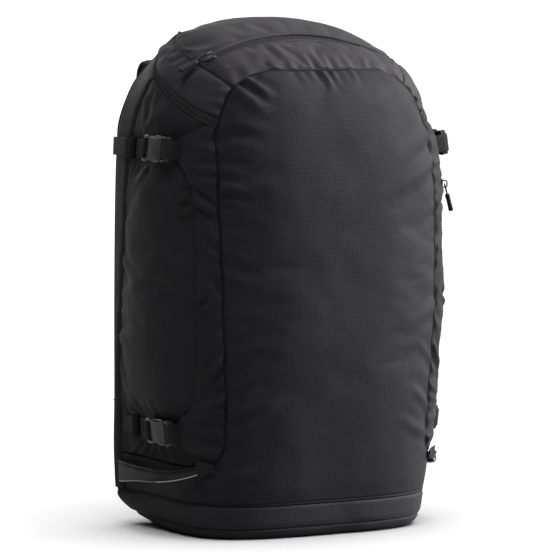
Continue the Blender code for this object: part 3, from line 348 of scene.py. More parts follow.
def merged(parts):
    """Several (verts, faces) as one; faces are lists."""
    verts, faces, at = [], [], 0
    for v, f in parts:
        v = np.asarray(v, float)
        verts.append(v)
        faces += [tuple(int(k) + at for k in x) for x in f]
        at += len(v)
    return np.concatenate(verts), faces


def outward(verts, faces):
    verts = np.asarray(verts, float)
    total = 0.0
    for f in faces:
        for k in range(1, len(f) - 1):
            total += np.dot(verts[f[0]], np.cross(verts[f[k]], verts[f[k + 1]]))
    return faces if total > 0 else [tuple(reversed(f)) for f in faces]


def frames(path, wide_hint):
    path = np.asarray(path, float)
    tang = np.gradient(path, axis=0)
    tang /= np.linalg.norm(tang, axis=1, keepdims=True)
    wide = np.broadcast_to(np.asarray(wide_hint, float), path.shape)
    wide = wide - tang * np.sum(wide * tang, axis=1, keepdims=True)
    wide = wide / np.linalg.norm(wide, axis=1, keepdims=True)
    return wide, np.cross(tang, wide)


def sweep(path, wide, thick, half_w, half_t, section, caps=True):
    """Body along a path; section points are shares of the half sizes.  Gives verts, faces, weave."""
    path = np.asarray(path, float)
    n, m = len(path), len(section)
    sec = np.asarray(section, float)
    half_w = np.broadcast_to(np.asarray(half_w, float), (n,))
    half_t = np.broadcast_to(np.asarray(half_t, float), (n,))
    pts = (path[:, None] + wide[:, None] * (sec[None, :, :1] * half_w[:, None, None])
           + thick[:, None] * (sec[None, :, 1:] * half_t[:, None, None]))
    verts = pts.reshape(-1, 3)
    faces = [tuple(q) for q in grid_quads(n, m, 0, True).tolist()]
    if caps:
        faces.append(tuple(range(m - 1, -1, -1)))
        faces.append(tuple(range((n - 1) * m, n * m)))
    run = np.concatenate([[0], np.cumsum(np.linalg.norm(np.diff(path, axis=0), axis=1))])
    weave = np.stack([np.broadcast_to(run[:, None], (n, m)), sec[None, :, 0] * half_w[:, None]], -1).reshape(-1, 2)
    return verts, outward(verts, faces), weave


def superellipse(n, power=4.0, flat=1.0):
    a = np.linspace(0, 2 * math.pi, n, endpoint=False)
    c, s = np.cos(a), np.sin(a)
    return np.stack([np.sign(c) * np.abs(c) ** (2 / power), flat * np.sign(s) * np.abs(s) ** (2 / power)], 1)


ROUND = superellipse(10, 2.0)
BAND = superellipse(20, 5.0)


def tube(points, r, sides=10, closed=False):
    """Round cord through points, with frames carried along.  Gives verts, faces, weave."""
    p = np.asarray(points, float)
    n = len(p)
    if closed:
        tang = np.roll(p, -1, axis=0) - np.roll(p, 1, axis=0)
    else:
        tang = np.gradient(p, axis=0)
    tang /= np.linalg.norm(tang, axis=1, keepdims=True)
    u = np.cross(tang[0], (0.31, 0.57, 0.76))
    u /= np.linalg.norm(u)
    us = [u]
    for k in range(1, n):
        u = u - tang[k] * np.dot(u, tang[k])
        u /= np.linalg.norm(u)
        us.append(u)
    us = np.array(us)
    ws = np.cross(tang, us)
    r = np.broadcast_to(np.asarray(r, float), (n,))
    a = np.linspace(0, 2 * math.pi, sides, endpoint=False)
    pts = p[:, None] + r[:, None, None] * (us[:, None] * np.cos(a)[None, :, None] + ws[:, None] * np.sin(a)[None, :, None])
    verts = pts.reshape(-1, 3)
    faces = [tuple(q) for q in grid_quads(n, sides, 0, True).tolist()]
    if closed:
        base = (n - 1) * sides
        turn = int(np.argmin([np.linalg.norm(pts[-1, 0] - pts[0, k]) for k in range(sides)]))
        for j in range(sides):
            faces.append((base + j, base + (j + 1) % sides, (j + 1 + turn) % sides, (j + turn) % sides))
    else:
        faces.append(tuple(range(sides - 1, -1, -1)))
        faces.append(tuple(range((n - 1) * sides, n * sides)))
    run = np.concatenate([[0], np.cumsum(np.linalg.norm(np.diff(p, axis=0), axis=1))])
    weave = np.stack([np.broadcast_to(run[:, None], (n, sides)), np.broadcast_to((a * r.mean())[None], (n, sides))], -1).reshape(-1, 2)
    return verts, outward(verts, faces), weave


def rounded(points, radius, seg=4):
    """Polygon with its corners rounded."""
    p = np.asarray(points, float)
    out = []
    for k in range(len(p)):
        a, b, c = p[k - 1], p[k], p[(k + 1) % len(p)]
        da, dc = a - b, c - b
        la, lc = np.linalg.norm(da), np.linalg.norm(dc)
        r = min(radius, 0.45 * la, 0.45 * lc)
        s, e = b + da / la * r, b + dc / lc * r
        for q in np.linspace(0, 1, seg + 1):
            out.append((1 - q) ** 2 * s + 2 * q * (1 - q) * b + q * q * e)
    return np.array(out)


def plate(loops, n0, n1, bevel, steps=3):
    """Flat moulding with rounded rims: outline and holes (s, w) between heights n0 and n1."""
    fixed = []
    for k, lp in enumerate(loops):
        lp = np.asarray(lp, float)
        nx = np.roll(lp, -1, axis=0)
        area = np.sum(lp[:, 0] * nx[:, 1] - nx[:, 0] * lp[:, 1])
        fixed.append(lp if (area > 0) == (k == 0) else lp[::-1])
    angles = np.linspace(0, math.pi / 2, steps + 1)
    layers = [(bevel * (1 - math.sin(a)), n0 + bevel * (1 - math.cos(a))) for a in angles]
    layers += [(bevel * (1 - math.sin(a)), n1 - bevel * (1 - math.cos(a))) for a in angles[::-1]]
    verts, faces, at = [], [], 0
    rims = []
    for lp in fixed:
        e1 = lp - np.roll(lp, 1, axis=0)
        e2 = np.roll(lp, -1, axis=0) - lp
        e1 /= np.linalg.norm(e1, axis=1, keepdims=True) + 1e-12
        e2 /= np.linalg.norm(e2, axis=1, keepdims=True) + 1e-12
        nn = np.stack([e1[:, 1] + e2[:, 1], -e1[:, 0] - e2[:, 0]], 1)
        ln = np.linalg.norm(nn, axis=1, keepdims=True)
        nn = nn / (ln + 1e-12) / np.clip(ln / 2, 0.6, 1)
        m = len(lp)
        for inset, z in layers:
            q = lp - nn * inset
            verts.append(np.concatenate([q, np.full((m, 1), z)], 1))
        for k in range(len(layers) - 1):
            for j in range(m):
                a, b = at + k * m + j, at + k * m + (j + 1) % m
                faces.append((a, b, b + m, a + m))
        rims.append((at, at + (len(layers) - 1) * m, lp - nn * bevel))
        at += len(layers) * m
    flat = [[Vector((x, y, 0)) for x, y in r[2]] for r in rims]
    low, top = [], []
    for lo, hi, pts in rims:
        low += list(range(lo, lo + len(pts)))
        top += list(range(hi, hi + len(pts)))
    tris = tessellate_polygon(flat)
    allp = [p for f in flat for p in f]
    up = sum((allp[b] - allp[a]).cross(allp[c] - allp[a]).z for a, b, c in tris) > 0
    for a, b, c in tris:
        a, b, c = (a, b, c) if up else (a, c, b)
        faces += [(top[a], top[b], top[c]), (low[c], low[b], low[a])]
    return np.concatenate(verts), faces


def placed(verts, origin, s, w, n):
    return np.asarray(verts) @ np.stack([s, w, n], 0) + np.asarray(origin)


# ---------------------------------------------------------------- materials
class Graph:
    def __init__(self, mat):
        self.t = mat.node_tree
        self.bsdf = self.t.nodes["Principled BSDF"]

    def put(self, socket, value):
        if isinstance(value, (int, float)):
            socket.default_value = value
        elif isinstance(value, tuple):
            socket.default_value = value
        else:
            self.t.links.new(value, socket)

    def math(self, op, a, b=None, c=None, clamp=False):
        n = self.t.nodes.new("ShaderNodeMath")
        n.operation = op
        n.use_clamp = clamp
        for k, x in enumerate((a, b, c)):
            if x is not None:
                self.put(n.inputs[k], x)
        return n.outputs[0]

    def wave(self, x, period, power=1.0, phase=0.0):
        """|cos| ridges with this period."""
        c = self.math("COSINE", self.math("MULTIPLY_ADD", x, math.pi / period, phase))
        c = self.math("ABSOLUTE", c)
        return self.math("POWER", c, power) if power != 1.0 else c

    def sine(self, x, period, phase=0.0):
        return self.math("SINE", self.math("MULTIPLY_ADD", x, 2 * math.pi / period, phase))

    def noise(self, vec, scale, detail=2.0, rough=0.5):
        n = self.t.nodes.new("ShaderNodeTexNoise")
        n.inputs["Scale"].default_value = scale
        n.inputs["Detail"].default_value = detail
        n.inputs["Roughness"].default_value = rough
        self.t.links.new(vec, n.inputs["Vector"])
        return n.outputs["Fac"]

    def span(self, x, a, b, lo, hi):
        n = self.t.nodes.new("ShaderNodeMapRange")
        n.clamp = True
        self.put(n.inputs["Value"], x)
        for k, val in (("From Min", a), ("From Max", b), ("To Min", lo), ("To Max", hi)):
            n.inputs[k].default_value = val
        return n.outputs["Result"]

    def ramp(self, fac, c0, c1):
        n = self.t.nodes.new("ShaderNodeMix")
        n.data_type = "RGBA"
        n.clamp_factor = True
        self.put(n.inputs[0], fac)
        n.inputs[6].default_value = (*c0, 1)
        n.inputs[7].default_value = (*c1, 1)
        return n.outputs[2]

    def weave(self):
        a = self.t.nodes.new("ShaderNodeAttribute")
        a.attribute_name = "weave"
        s = self.t.nodes.new("ShaderNodeSeparateXYZ")
        self.t.links.new(a.outputs["Vector"], s.inputs[0])
        return a.outputs["Vector"], s.outputs[0], s.outputs[1]

    def place(self):
        return self.t.nodes.new("ShaderNodeTexCoord").outputs["Object"]

    def edge_wear(self, lo=0.52, hi=0.60):
        g = self.t.nodes.new("ShaderNodeNewGeometry")
        return self.span(g.outputs["Pointiness"], lo, hi, 0.0, 1.0)

    def bump(self, height, strength, distance):
        n = self.t.nodes.new("ShaderNodeBump")
        n.inputs["Strength"].default_value = strength
        n.inputs["Distance"].default_value = distance
        self.t.links.new(height, n.inputs["Height"])
        self.t.links.new(n.outputs["Normal"], self.bsdf.inputs["Normal"])


def new_material(name):
    mat = bpy.data.materials.new(name)
    mat.use_nodes = True
    return mat, Graph(mat)


DYE = 0.70      # depth of the dye, on every fabric and plastic


def cloth_material(name, dark, light, kind, pitch, rough=(0.62, 0.80), sheen=0.015, sheen_rough=0.35,
                   specular=0.07, bump=0.5, depth=0.0003, contrast=1.0):
    """Woven fabric on the metric weave attribute."""
    dark, light = [tuple(c * DYE for c in k) for k in (dark, light)]
    mat, g = new_material(name)
    vec, x, y = g.weave()
    cloud = g.noise(vec, 22.0, 3.0, 0.55)
    fleck = g.noise(vec, 1900.0, 1.0, 0.5)
    if kind == "ripstop":
        lines = g.math("MAXIMUM", g.wave(x, pitch, 20.0), g.wave(y, pitch, 20.0))
        fine = g.math("MULTIPLY", g.sine(x, pitch / 5), g.sine(y, pitch / 5))
        height = g.math("MULTIPLY_ADD", fine, 0.16, g.math("MULTIPLY", lines, 0.8))
        tint = lines
    elif kind == "plain":
        fine = g.math("MULTIPLY", g.sine(x, pitch), g.sine(y, pitch))
        height = g.math("MULTIPLY_ADD", fine, 0.5, 0.5)
        tint = height
    elif kind == "dobby":
        row = g.wave(y, pitch, 1.3)
        fine = g.math("MULTIPLY", g.sine(x, pitch * 0.62), g.sine(y, pitch * 0.5))
        height = g.math("MULTIPLY_ADD", fine, 0.22, g.math("MULTIPLY", row, 0.7))
        tint = height
    elif kind == "twill":
        d = g.math("ADD", x, y)
        rib = g.wave(d, pitch, 1.6)
        fine = g.sine(g.math("SUBTRACT", x, y), pitch * 0.8)
        height = g.math("MULTIPLY_ADD", fine, 0.12, g.math("MULTIPLY", rib, 0.8))
        tint = rib
    elif kind == "webbing":
        rib = g.wave(x, pitch, 1.4)
        lane = g.wave(y, pitch * 1.55, 1.2)
        height = g.math("MULTIPLY_ADD", g.math("MULTIPLY", rib, lane), 0.8, 0.1)
        tint = height
    elif kind == "mesh":
        a = g.sine(x, pitch)
        b = g.sine(g.math("MULTIPLY_ADD", y, 0.866, g.math("MULTIPLY", x, -0.5)), pitch)
        c = g.sine(g.math("MULTIPLY_ADD", y, -0.866, g.math("MULTIPLY", x, -0.5)), pitch)
        hole = g.math("ADD", g.math("ADD", a, b), c)
        height = g.span(hole, -0.9, 0.9, 0.0, 1.0)
        tint = height
    else:
        rib = g.wave(x, pitch, 1.2)
        height = g.math("MULTIPLY_ADD", rib, 0.8, 0.1)
        tint = rib
    grain = g.noise(vec, 560.0, 2.0, 0.6)
    fac = g.math("MULTIPLY_ADD", tint, 0.46 * contrast, g.math("MULTIPLY_ADD", cloud, 0.50, g.math("MULTIPLY_ADD", fleck, 0.35, g.math("MULTIPLY_ADD", grain, 0.60, -0.58))))
    g.put(g.bsdf.inputs["Base Color"], g.ramp(fac, dark, light))
    g.put(g.bsdf.inputs["Roughness"], g.span(g.math("MULTIPLY_ADD", fleck, 0.5, cloud), 0.45, 1.05, rough[0], rough[1]))
    g.bsdf.inputs["Sheen Weight"].default_value = sheen
    g.bsdf.inputs["Sheen Roughness"].default_value = sheen_rough
    g.bsdf.inputs["Sheen Tint"].default_value = (0.92, 0.90, 0.96, 1)
    g.bsdf.inputs["Specular IOR Level"].default_value = specular
    g.bump(g.math("MULTIPLY_ADD", fleck, 0.22, height), bump, depth)
    return mat


def plastic_material(name, dark, light, rough=(0.34, 0.50), specular=0.5, grain=2600.0, bump=0.12):
    dark, light = [tuple(c * DYE for c in k) for k in (dark, light)]
    mat, g = new_material(name)
    at = g.place()
    tex = g.noise(at, grain, 1.0, 0.5)
    cloud = g.noise(at, 160.0, 3.0, 0.6)
    wear = g.edge_wear(0.53, 0.66)
    fac = g.math("MULTIPLY_ADD", cloud, 0.5, g.math("MULTIPLY", wear, 0.5))
    g.put(g.bsdf.inputs["Base Color"], g.ramp(fac, dark, light))
    g.put(g.bsdf.inputs["Roughness"], g.span(g.math("MULTIPLY_ADD", tex, 0.5, cloud), 0.45, 1.05, rough[0], rough[1]))
    g.bsdf.inputs["Specular IOR Level"].default_value = specular
    g.bump(tex, bump, 0.0002)
    return mat


def metal_material(name, dark, light):
    mat, g = new_material(name)
    at = g.place()
    tex = g.noise(at, 1500.0, 2.0, 0.5)
    wear = g.edge_wear(0.52, 0.62)
    g.put(g.bsdf.inputs["Base Color"], g.ramp(g.math("MULTIPLY_ADD", wear, 0.8, g.math("MULTIPLY", tex, 0.2)), dark, light))
    g.put(g.bsdf.inputs["Roughness"], g.span(tex, 0.3, 0.7, 0.26, 0.44))
    g.bsdf.inputs["Metallic"].default_value = 0.85
    g.bump(tex, 0.08, 0.0002)
    return mat


M = {
    "ripstop": cloth_material("m_ripstop", (0.0074, 0.0069, 0.0080), (0.0236, 0.0220, 0.0254), "ripstop", 0.0027, bump=0.55, depth=0.00032),
    "side": cloth_material("m_side_weave", (0.0070, 0.0066, 0.0075), (0.0226, 0.0212, 0.0242), "dobby", 0.0021, bump=0.6, depth=0.00032),
    "twill": cloth_material("m_twill", (0.0106, 0.0100, 0.0114), (0.0376, 0.0354, 0.0405), "twill", 0.0036, bump=0.7, depth=0.00038, contrast=1.5),
    "base": cloth_material("m_base", (0.0120, 0.0113, 0.0127), (0.0390, 0.0367, 0.0417), "ripstop", 0.0027, bump=0.5, depth=0.0003),
    "under": cloth_material("m_under", (0.0120, 0.0117, 0.0124), (0.0300, 0.0292, 0.0308), "plain", 0.0030, rough=(0.5, 0.7), bump=0.6, depth=0.0006),
    "webbing": cloth_material("m_webbing", (0.0078, 0.0075, 0.0082), (0.0252, 0.0244, 0.0262), "webbing", 0.0016, bump=0.8, depth=0.0004),
    "elastic": cloth_material("m_elastic", (0.0012, 0.0012, 0.0013), (0.0042, 0.0041, 0.0044), "webbing", 0.0011, bump=0.6, depth=0.0003, sheen=0.0, specular=0.02),
    "tape": cloth_material("m_zip_tape", (0.0080, 0.0078, 0.0083), (0.0420, 0.0408, 0.0436), "rib", 0.0044, bump=0.7, depth=0.0003),
    "cord": cloth_material("m_cord", (0.0090, 0.0088, 0.0094), (0.0340, 0.0333, 0.0355), "twill", 0.0011, bump=0.9, depth=0.0004),
    "pipe": cloth_material("m_piping", (0.0050, 0.0049, 0.0053), (0.0170, 0.0166, 0.0176), "rib", 0.0010, bump=0.4, depth=0.0002),
    "binding": cloth_material("m_binding", (0.0100, 0.0097, 0.0105), (0.0340, 0.0331, 0.0352), "rib", 0.0012, rough=(0.32, 0.45), bump=0.4, depth=0.0002, specular=0.5),
    "reflective": cloth_material("m_reflective", (0.1800, 0.1800, 0.1830), (0.3600, 0.3600, 0.3640), "rib", 0.0014, rough=(0.28, 0.42), bump=0.25, depth=0.00015, specular=0.6),
    "thread": cloth_material("m_thread", (0.0130, 0.0127, 0.0136), (0.0380, 0.0373, 0.0394), "rib", 0.0006, bump=0.4, depth=0.0001),
    "mesh": cloth_material("m_back_mesh", (0.0050, 0.0050, 0.0053), (0.0360, 0.0352, 0.0375), "mesh", 0.0034, rough=(0.7, 0.85), bump=0.9, depth=0.0009, contrast=1.6),
    "pad": cloth_material("m_pad", (0.0130, 0.0125, 0.0136), (0.0340, 0.0327, 0.0356), "plain", 0.0016, bump=0.5, depth=0.0003),
    "lining": cloth_material("m_lining", (0.0700, 0.0690, 0.0720), (0.1350, 0.1330, 0.1390), "plain", 0.0009, rough=(0.5, 0.65), bump=0.3, depth=0.0002),
    # darkest cloth, for the cords sunk in the seam grooves: painted shade that darkens the grooves
    "seam_painted_shade": cloth_material("m_seam_painted_shade", (0.0030, 0.0029, 0.0032), (0.0100, 0.0098, 0.0104), "rib", 0.0010, bump=0.4, depth=0.0002),
    "buckle": plastic_material("m_buckle", (0.0050, 0.0049, 0.0052), (0.0160, 0.0156, 0.0166), specular=0.3),
    "hood": plastic_material("m_buckle_hood", (0.0094, 0.0091, 0.0098), (0.0250, 0.0243, 0.0259), rough=(0.46, 0.60), specular=0.16),
    "grip": plastic_material("m_grip", (0.0022, 0.0022, 0.0024), (0.0080, 0.0079, 0.0084), rough=(0.56, 0.72), specular=0.18),
    "slider": metal_material("m_slider", (0.0160, 0.0160, 0.0166), (0.0900, 0.0900, 0.0920)),
}


# ---------------------------------------------------------------- camera, light, floor
def studio():
    a, e = math.radians(-30.0), math.radians(4.5)
    back = Vector((math.sin(a) * math.cos(e), -math.cos(a) * math.cos(e), math.sin(e)))
    right = Vector((math.cos(a), math.sin(a), 0.0))
    up = back.cross(right)
    ppm, dist = 900.0, 4.5
    aim = Vector((0, 0, 0.285)) - right * (7.5 / ppm) - up * (8.5 / ppm)
    cam = bpy.data.cameras.new("camera")
    cam.sensor_width = 36.0
    cam.lens = 36.0 * ppm * dist / 557.0
    cam.clip_start, cam.clip_end = 0.1, 500.0
    ob = bpy.data.objects.new("camera", cam)
    ob.location = aim + back * dist
    ob.rotation_mode = "QUATERNION"
    ob.rotation_quaternion = (-back).to_track_quat("-Z", "Y")
    bpy.context.scene.collection.objects.link(ob)
    bpy.context.scene.camera = ob

    lamps = []

    def sun(name, towards, energy, angle):
        data = bpy.data.lights.new(name, "SUN")
        data.energy = energy
        data.angle = math.radians(angle)
        lamp = bpy.data.objects.new(name, data)
        lamp.rotation_mode = "QUATERNION"
        lamp.rotation_quaternion = Vector(towards).normalized().to_track_quat("Z", "Y")
        bpy.context.scene.collection.objects.link(lamp)
        lamps.append(lamp)
    sun("key", (0.865, -0.225, 0.448), 16.4, 36)
    sun("top", (-0.25, -0.22, 0.943), 3.0, 46)
    sun("back", (0.05, 0.90, 0.43), 1.7, 40)
    sun("sweep", (0.10, -0.10, 0.99), 4.3, 80)
    world = bpy.data.worlds.new("studio")
    bpy.context.scene.world = world
    world.use_nodes = True
    bg = world.node_tree.nodes["Background"]
    bg.inputs["Color"].default_value = (1, 1, 1, 1)
    bg.inputs["Strength"].default_value = 0.045
    bpy.context.scene.view_settings.view_transform = "Standard"
    bpy.context.scene.view_settings.look = "None"
    mat, g = new_material("m_floor")
    g.put(g.bsdf.inputs["Base Color"], g.ramp(g.noise(g.place(), 0.7, 2.0, 0.5), (0.88, 0.88, 0.88), (0.92, 0.92, 0.92)))
    g.bsdf.inputs["Roughness"].default_value = 0.9
    g.bsdf.inputs["Specular IOR Level"].default_value = 0.1
    r = 150.0
    me = bpy.data.meshes.new("floor")
    ring = [(r * math.cos(k * math.pi / 32), r * math.sin(k * math.pi / 32), 0.0) for k in range(64)]
    me.from_pydata(ring, [], [list(range(64))])
    me.materials.append(mat)
    floor = bpy.data.objects.new("floor", me)
    bpy.context.scene.collection.objects.link(floor)
    # the floor has its own soft light from above, and the object has the other three
    for k, lamp in enumerate(lamps):
        group = bpy.data.collections.new("lit_by_" + lamp.name)
        group.objects.link(floor)
        lamp.light_linking.receiver_collection = group
        group.collection_objects[0].light_linking.link_state = "INCLUDE" if lamp.name == "sweep" else "EXCLUDE"


studio()


# ---------------------------------------------------------------- fabric patches
class Patch:
    """A grid of points on the bag's surface, with distances to its four edges and a normal offset."""

    def __init__(self, v, t, off=0.0):
        self.v, self.t = np.broadcast_arrays(np.asarray(v, float), np.asarray(t, float))
        self.p, self.n = point_normal(self.v, self.t)
        du = np.linalg.norm(np.diff(self.p, axis=1), axis=2)
        dv = np.linalg.norm(np.diff(self.p, axis=0), axis=2)
        z1 = np.zeros((self.p.shape[0], 1))
        z0 = np.zeros((1, self.p.shape[1]))
        self.left = np.concatenate([z1, np.cumsum(du, axis=1)], 1)
        self.right = self.left[:, -1:] - self.left
        self.low = np.concatenate([z0, np.cumsum(dv, axis=0)], 0)
        self.high = self.low[-1:] - self.low
        self.d = np.zeros(self.v.shape) + off
        self.move = np.zeros(self.p.shape)

    def points(self):
        return self.p + self.n * self.d[..., None] + self.move

    def weave(self):
        t = np.where(np.abs(self.t) > 1, np.sign(self.t) * (1 + (np.abs(self.t) - 1) * 1.0), self.t)
        return np.stack([t * half_u(self.v), y_of(self.v)], -1)


def skin_of(patches):
    """One welded skin from patches: verts, quads, normals, weave."""
    verts, quads, normals, weave, at = [], [], [], [], 0
    for pt in patches:
        nr, nc = pt.v.shape
        verts.append(pt.points().reshape(-1, 3))
        normals.append(pt.n.reshape(-1, 3))
        weave.append(pt.weave().reshape(-1, 2))
        quads.append(grid_quads(nr, nc, at))
        at += nr * nc
    verts, normals, weave, quads = map(np.concatenate, (verts, normals, weave, quads))
    if len(patches) > 1:
        _, first, inverse = np.unique(np.round(verts, 5), axis=0, return_index=True, return_inverse=True)
        quads = inverse.reshape(-1)[quads]
        verts, normals, weave = verts[first], normals[first], weave[first]
    return verts, quads, normals, weave


def cloth_object(name, patches, thick, mat, sharp=60):
    verts, quads, normals, weave = skin_of(patches if isinstance(patches, list) else [patches])
    n = len(verts)
    verts, quads = thicken(verts, quads, normals, thick)
    return mesh_object(name, verts, quads, mat, np.concatenate([weave, weave]), sharp)


def creases(pt, lines, gain=1.0):
    """Sum of soft folds.  A line is (points (v, t), width, height, start share, end share)."""
    pos = pt.p.reshape(-1, 3)
    total = np.zeros(len(pos))
    for keys, width, height, s0, s1 in lines:
        k = np.asarray(keys, float)
        q = np.linspace(0, 1, 18)
        if len(k) == 3:
            vt = ((1 - q) ** 2)[:, None] * k[0] + (2 * q * (1 - q))[:, None] * (2 * k[1] - 0.5 * (k[0] + k[2])) + (q ** 2)[:, None] * k[2]
        else:
            vt = k[0] + (k[-1] - k[0]) * q[:, None]
        line = surf(vt[:, 0], vt[:, 1])
        near = np.abs(pos - line.mean(0)).max(1) < 0.09
        if not near.any():
            continue
        dist = np.linalg.norm(pos[near][:, None] - line[None], axis=2)
        j = dist.argmin(1)
        d = dist[np.arange(len(j)), j] / width
        share = q[j]
        amp = (s0 + (s1 - s0) * share) * step01((1 - share) / 0.45)
        total[near] += gain * height * amp * (np.exp(-d * d) - 0.45 * np.exp(-((d - 1.9) / 0.9) ** 2))
    return total.reshape(pt.v.shape)


# folds that the sewn seams and straps pull into the fabric, as lines on (v, t)
FRONT_FOLDS = [
    (((0.250, -0.400), (0.275, -0.340), (0.305, -0.270)), 0.0045, 0.0022, 1.0, 0.5),
    (((0.235, -0.400), (0.255, -0.345), (0.272, -0.270)), 0.0042, 0.0020, 1.0, 0.5),
    (((0.232, -0.330), (0.255, -0.265), (0.285, -0.190)), 0.0060, 0.0014, 0.5, 0.6),
    (((0.120, -0.450), (0.135, -0.360), (0.158, -0.260)), 0.0060, 0.0022, 1.0, 0.5),
    (((0.212, -0.405), (0.222, -0.330), (0.245, -0.240)), 0.0060, 0.0014, 1.0, 0.5),
    (((0.880, -0.340), (0.860, -0.280), (0.838, -0.215)), 0.0042, 0.0018, 1.0, 0.4),
    (((0.868, -0.358), (0.846, -0.300), (0.822, -0.235)), 0.0040, -0.0015, 1.0, 0.4),
    (((0.850, -0.372), (0.825, -0.300), (0.800, -0.220)), 0.0070, 0.0014, 1.0, 0.4),
    (((0.898, -0.010), (0.876, 0.000), (0.850, 0.000)), 0.0036, 0.0014, 1.0, 0.5),
    (((0.898, 0.036), (0.884, 0.037), (0.868, 0.036)), 0.0030, 0.0008, 1.0, 0.5),
    (((0.898, -0.045), (0.884, -0.040), (0.868, -0.034)), 0.0030, -0.0008, 1.0, 0.5),
    (((0.898, -0.120), (0.880, -0.105), (0.862, -0.085)), 0.0036, 0.0006, 1.0, 0.4),
    (((0.898, 0.130), (0.882, 0.125), (0.866, 0.115)), 0.0034, 0.0006, 1.0, 0.4),
    (((0.735, -0.415), (0.760, -0.340), (0.752, -0.235)), 0.0060, -0.0018, 1.0, 0.5),
    (((0.700, -0.418), (0.706, -0.360), (0.702, -0.290)), 0.0046, -0.0012, 1.0, 0.5),
    (((0.676, -0.420), (0.678, -0.390), (0.678, -0.350)), 0.0034, -0.0014, 1.0, 0.5),
    (((0.641, -0.420), (0.645, -0.360), (0.636, -0.285)), 0.0042, -0.0016, 1.0, 0.5),
    (((0.624, -0.418), (0.627, -0.388), (0.627, -0.350)), 0.0034, -0.0014, 1.0, 0.5),
    (((0.655, -0.418), (0.660, -0.372), (0.656, -0.310)), 0.0046, 0.0012, 1.0, 0.5),
    (((0.525, -0.410), (0.515, -0.345), (0.495, -0.280)), 0.0060, -0.0012, 1.0, 0.4),
    (((0.350, -0.398), (0.370, -0.335), (0.392, -0.265)), 0.0060, 0.0012, 1.0, 0.4),
    (((0.695, 0.412), (0.675, 0.270), (0.640, 0.150)), 0.0080, 0.0020, 1.0, 0.4),
    (((0.740, 0.412), (0.738, 0.330), (0.725, 0.250)), 0.0070, 0.0014, 1.0, 0.4),
    (((0.235, 0.405), (0.262, 0.345), (0.300, 0.260)), 0.0050, 0.0012, 1.0, 0.5),
    (((0.190, 0.405), (0.205, 0.320), (0.235, 0.220)), 0.0055, 0.0011, 1.0, 0.5),
    (((0.330, 0.400), (0.350, 0.350), (0.378, 0.290)), 0.0050, 0.0008, 1.0, 0.4),
    (((0.600, 0.415), (0.590, 0.360), (0.570, 0.300)), 0.0050, -0.0008, 1.0, 0.4),
    (((0.430, 0.405), (0.415, 0.340), (0.390, 0.280)), 0.0070, 0.0012, 1.0, 0.4),
]
WING_FOLDS = [
    (((0.645, 0.500), (0.635, 0.455), (0.624, 0.421)), 0.0034, -0.0017, 1.0, 0.9),
    (((0.644, 0.421), (0.650, 0.450), (0.656, 0.480)), 0.0028, -0.0014, 1.0, 0.6),
    (((0.612, 0.494), (0.605, 0.455), (0.594, 0.418)), 0.0036, -0.0018, 1.0, 0.9),
    (((0.629, 0.494), (0.620, 0.455), (0.610, 0.420)), 0.0034, 0.0014, 1.0, 0.9),
    (((0.550, 0.415), (0.560, 0.450), (0.576, 0.484)), 0.0048, -0.0021, 1.0, 0.8),
    (((0.475, 0.410), (0.495, 0.435), (0.512, 0.464)), 0.0048, -0.0021, 1.0, 0.7),
    (((0.438, 0.490), (0.450, 0.465), (0.460, 0.440)), 0.0034, -0.0017, 1.0, 0.7),
    (((0.430, 0.490), (0.439, 0.465), (0.450, 0.440)), 0.0034, 0.0014, 1.0, 0.7),
    (((0.352, 0.405), (0.325, 0.445), (0.292, 0.475)), 0.0042, 0.0024, 1.0, 0.8),
    (((0.334, 0.404), (0.312, 0.440), (0.285, 0.466)), 0.0042, -0.0016, 1.0, 0.8),
    (((0.296, 0.403), (0.290, 0.450), (0.270, 0.495)), 0.0036, -0.0017, 1.0, 0.8),
    (((0.276, 0.403), (0.265, 0.450), (0.255, 0.495)), 0.0036, 0.0020, 1.0, 0.8),
    (((0.257, 0.403), (0.250, 0.445), (0.240, 0.500)), 0.0034, 0.0018, 1.0, 0.8),
    (((0.226, 0.404), (0.230, 0.490), (0.225, 0.560)), 0.0036, -0.0014, 1.0, 0.7),
    (((0.190, 0.406), (0.205, 0.490), (0.210, 0.570)), 0.0042, -0.0020, 1.0, 0.7),
    (((0.175, 0.415), (0.180, 0.490), (0.186, 0.560)), 0.0042, 0.0019, 1.0, 0.7),
    (((0.676, 0.420), (0.670, 0.480), (0.665, 0.550)), 0.0036, -0.0015, 1.0, 0.7),
    (((0.702, 0.419), (0.686, 0.490), (0.676, 0.560)), 0.0042, -0.0014, 1.0, 0.7),
    (((0.722, 0.418), (0.712, 0.480), (0.706, 0.540)), 0.0042, 0.0014, 1.0, 0.7),
    (((0.395, 0.404), (0.385, 0.440), (0.372, 0.480)), 0.0050, 0.0012, 1.0, 0.6),
]
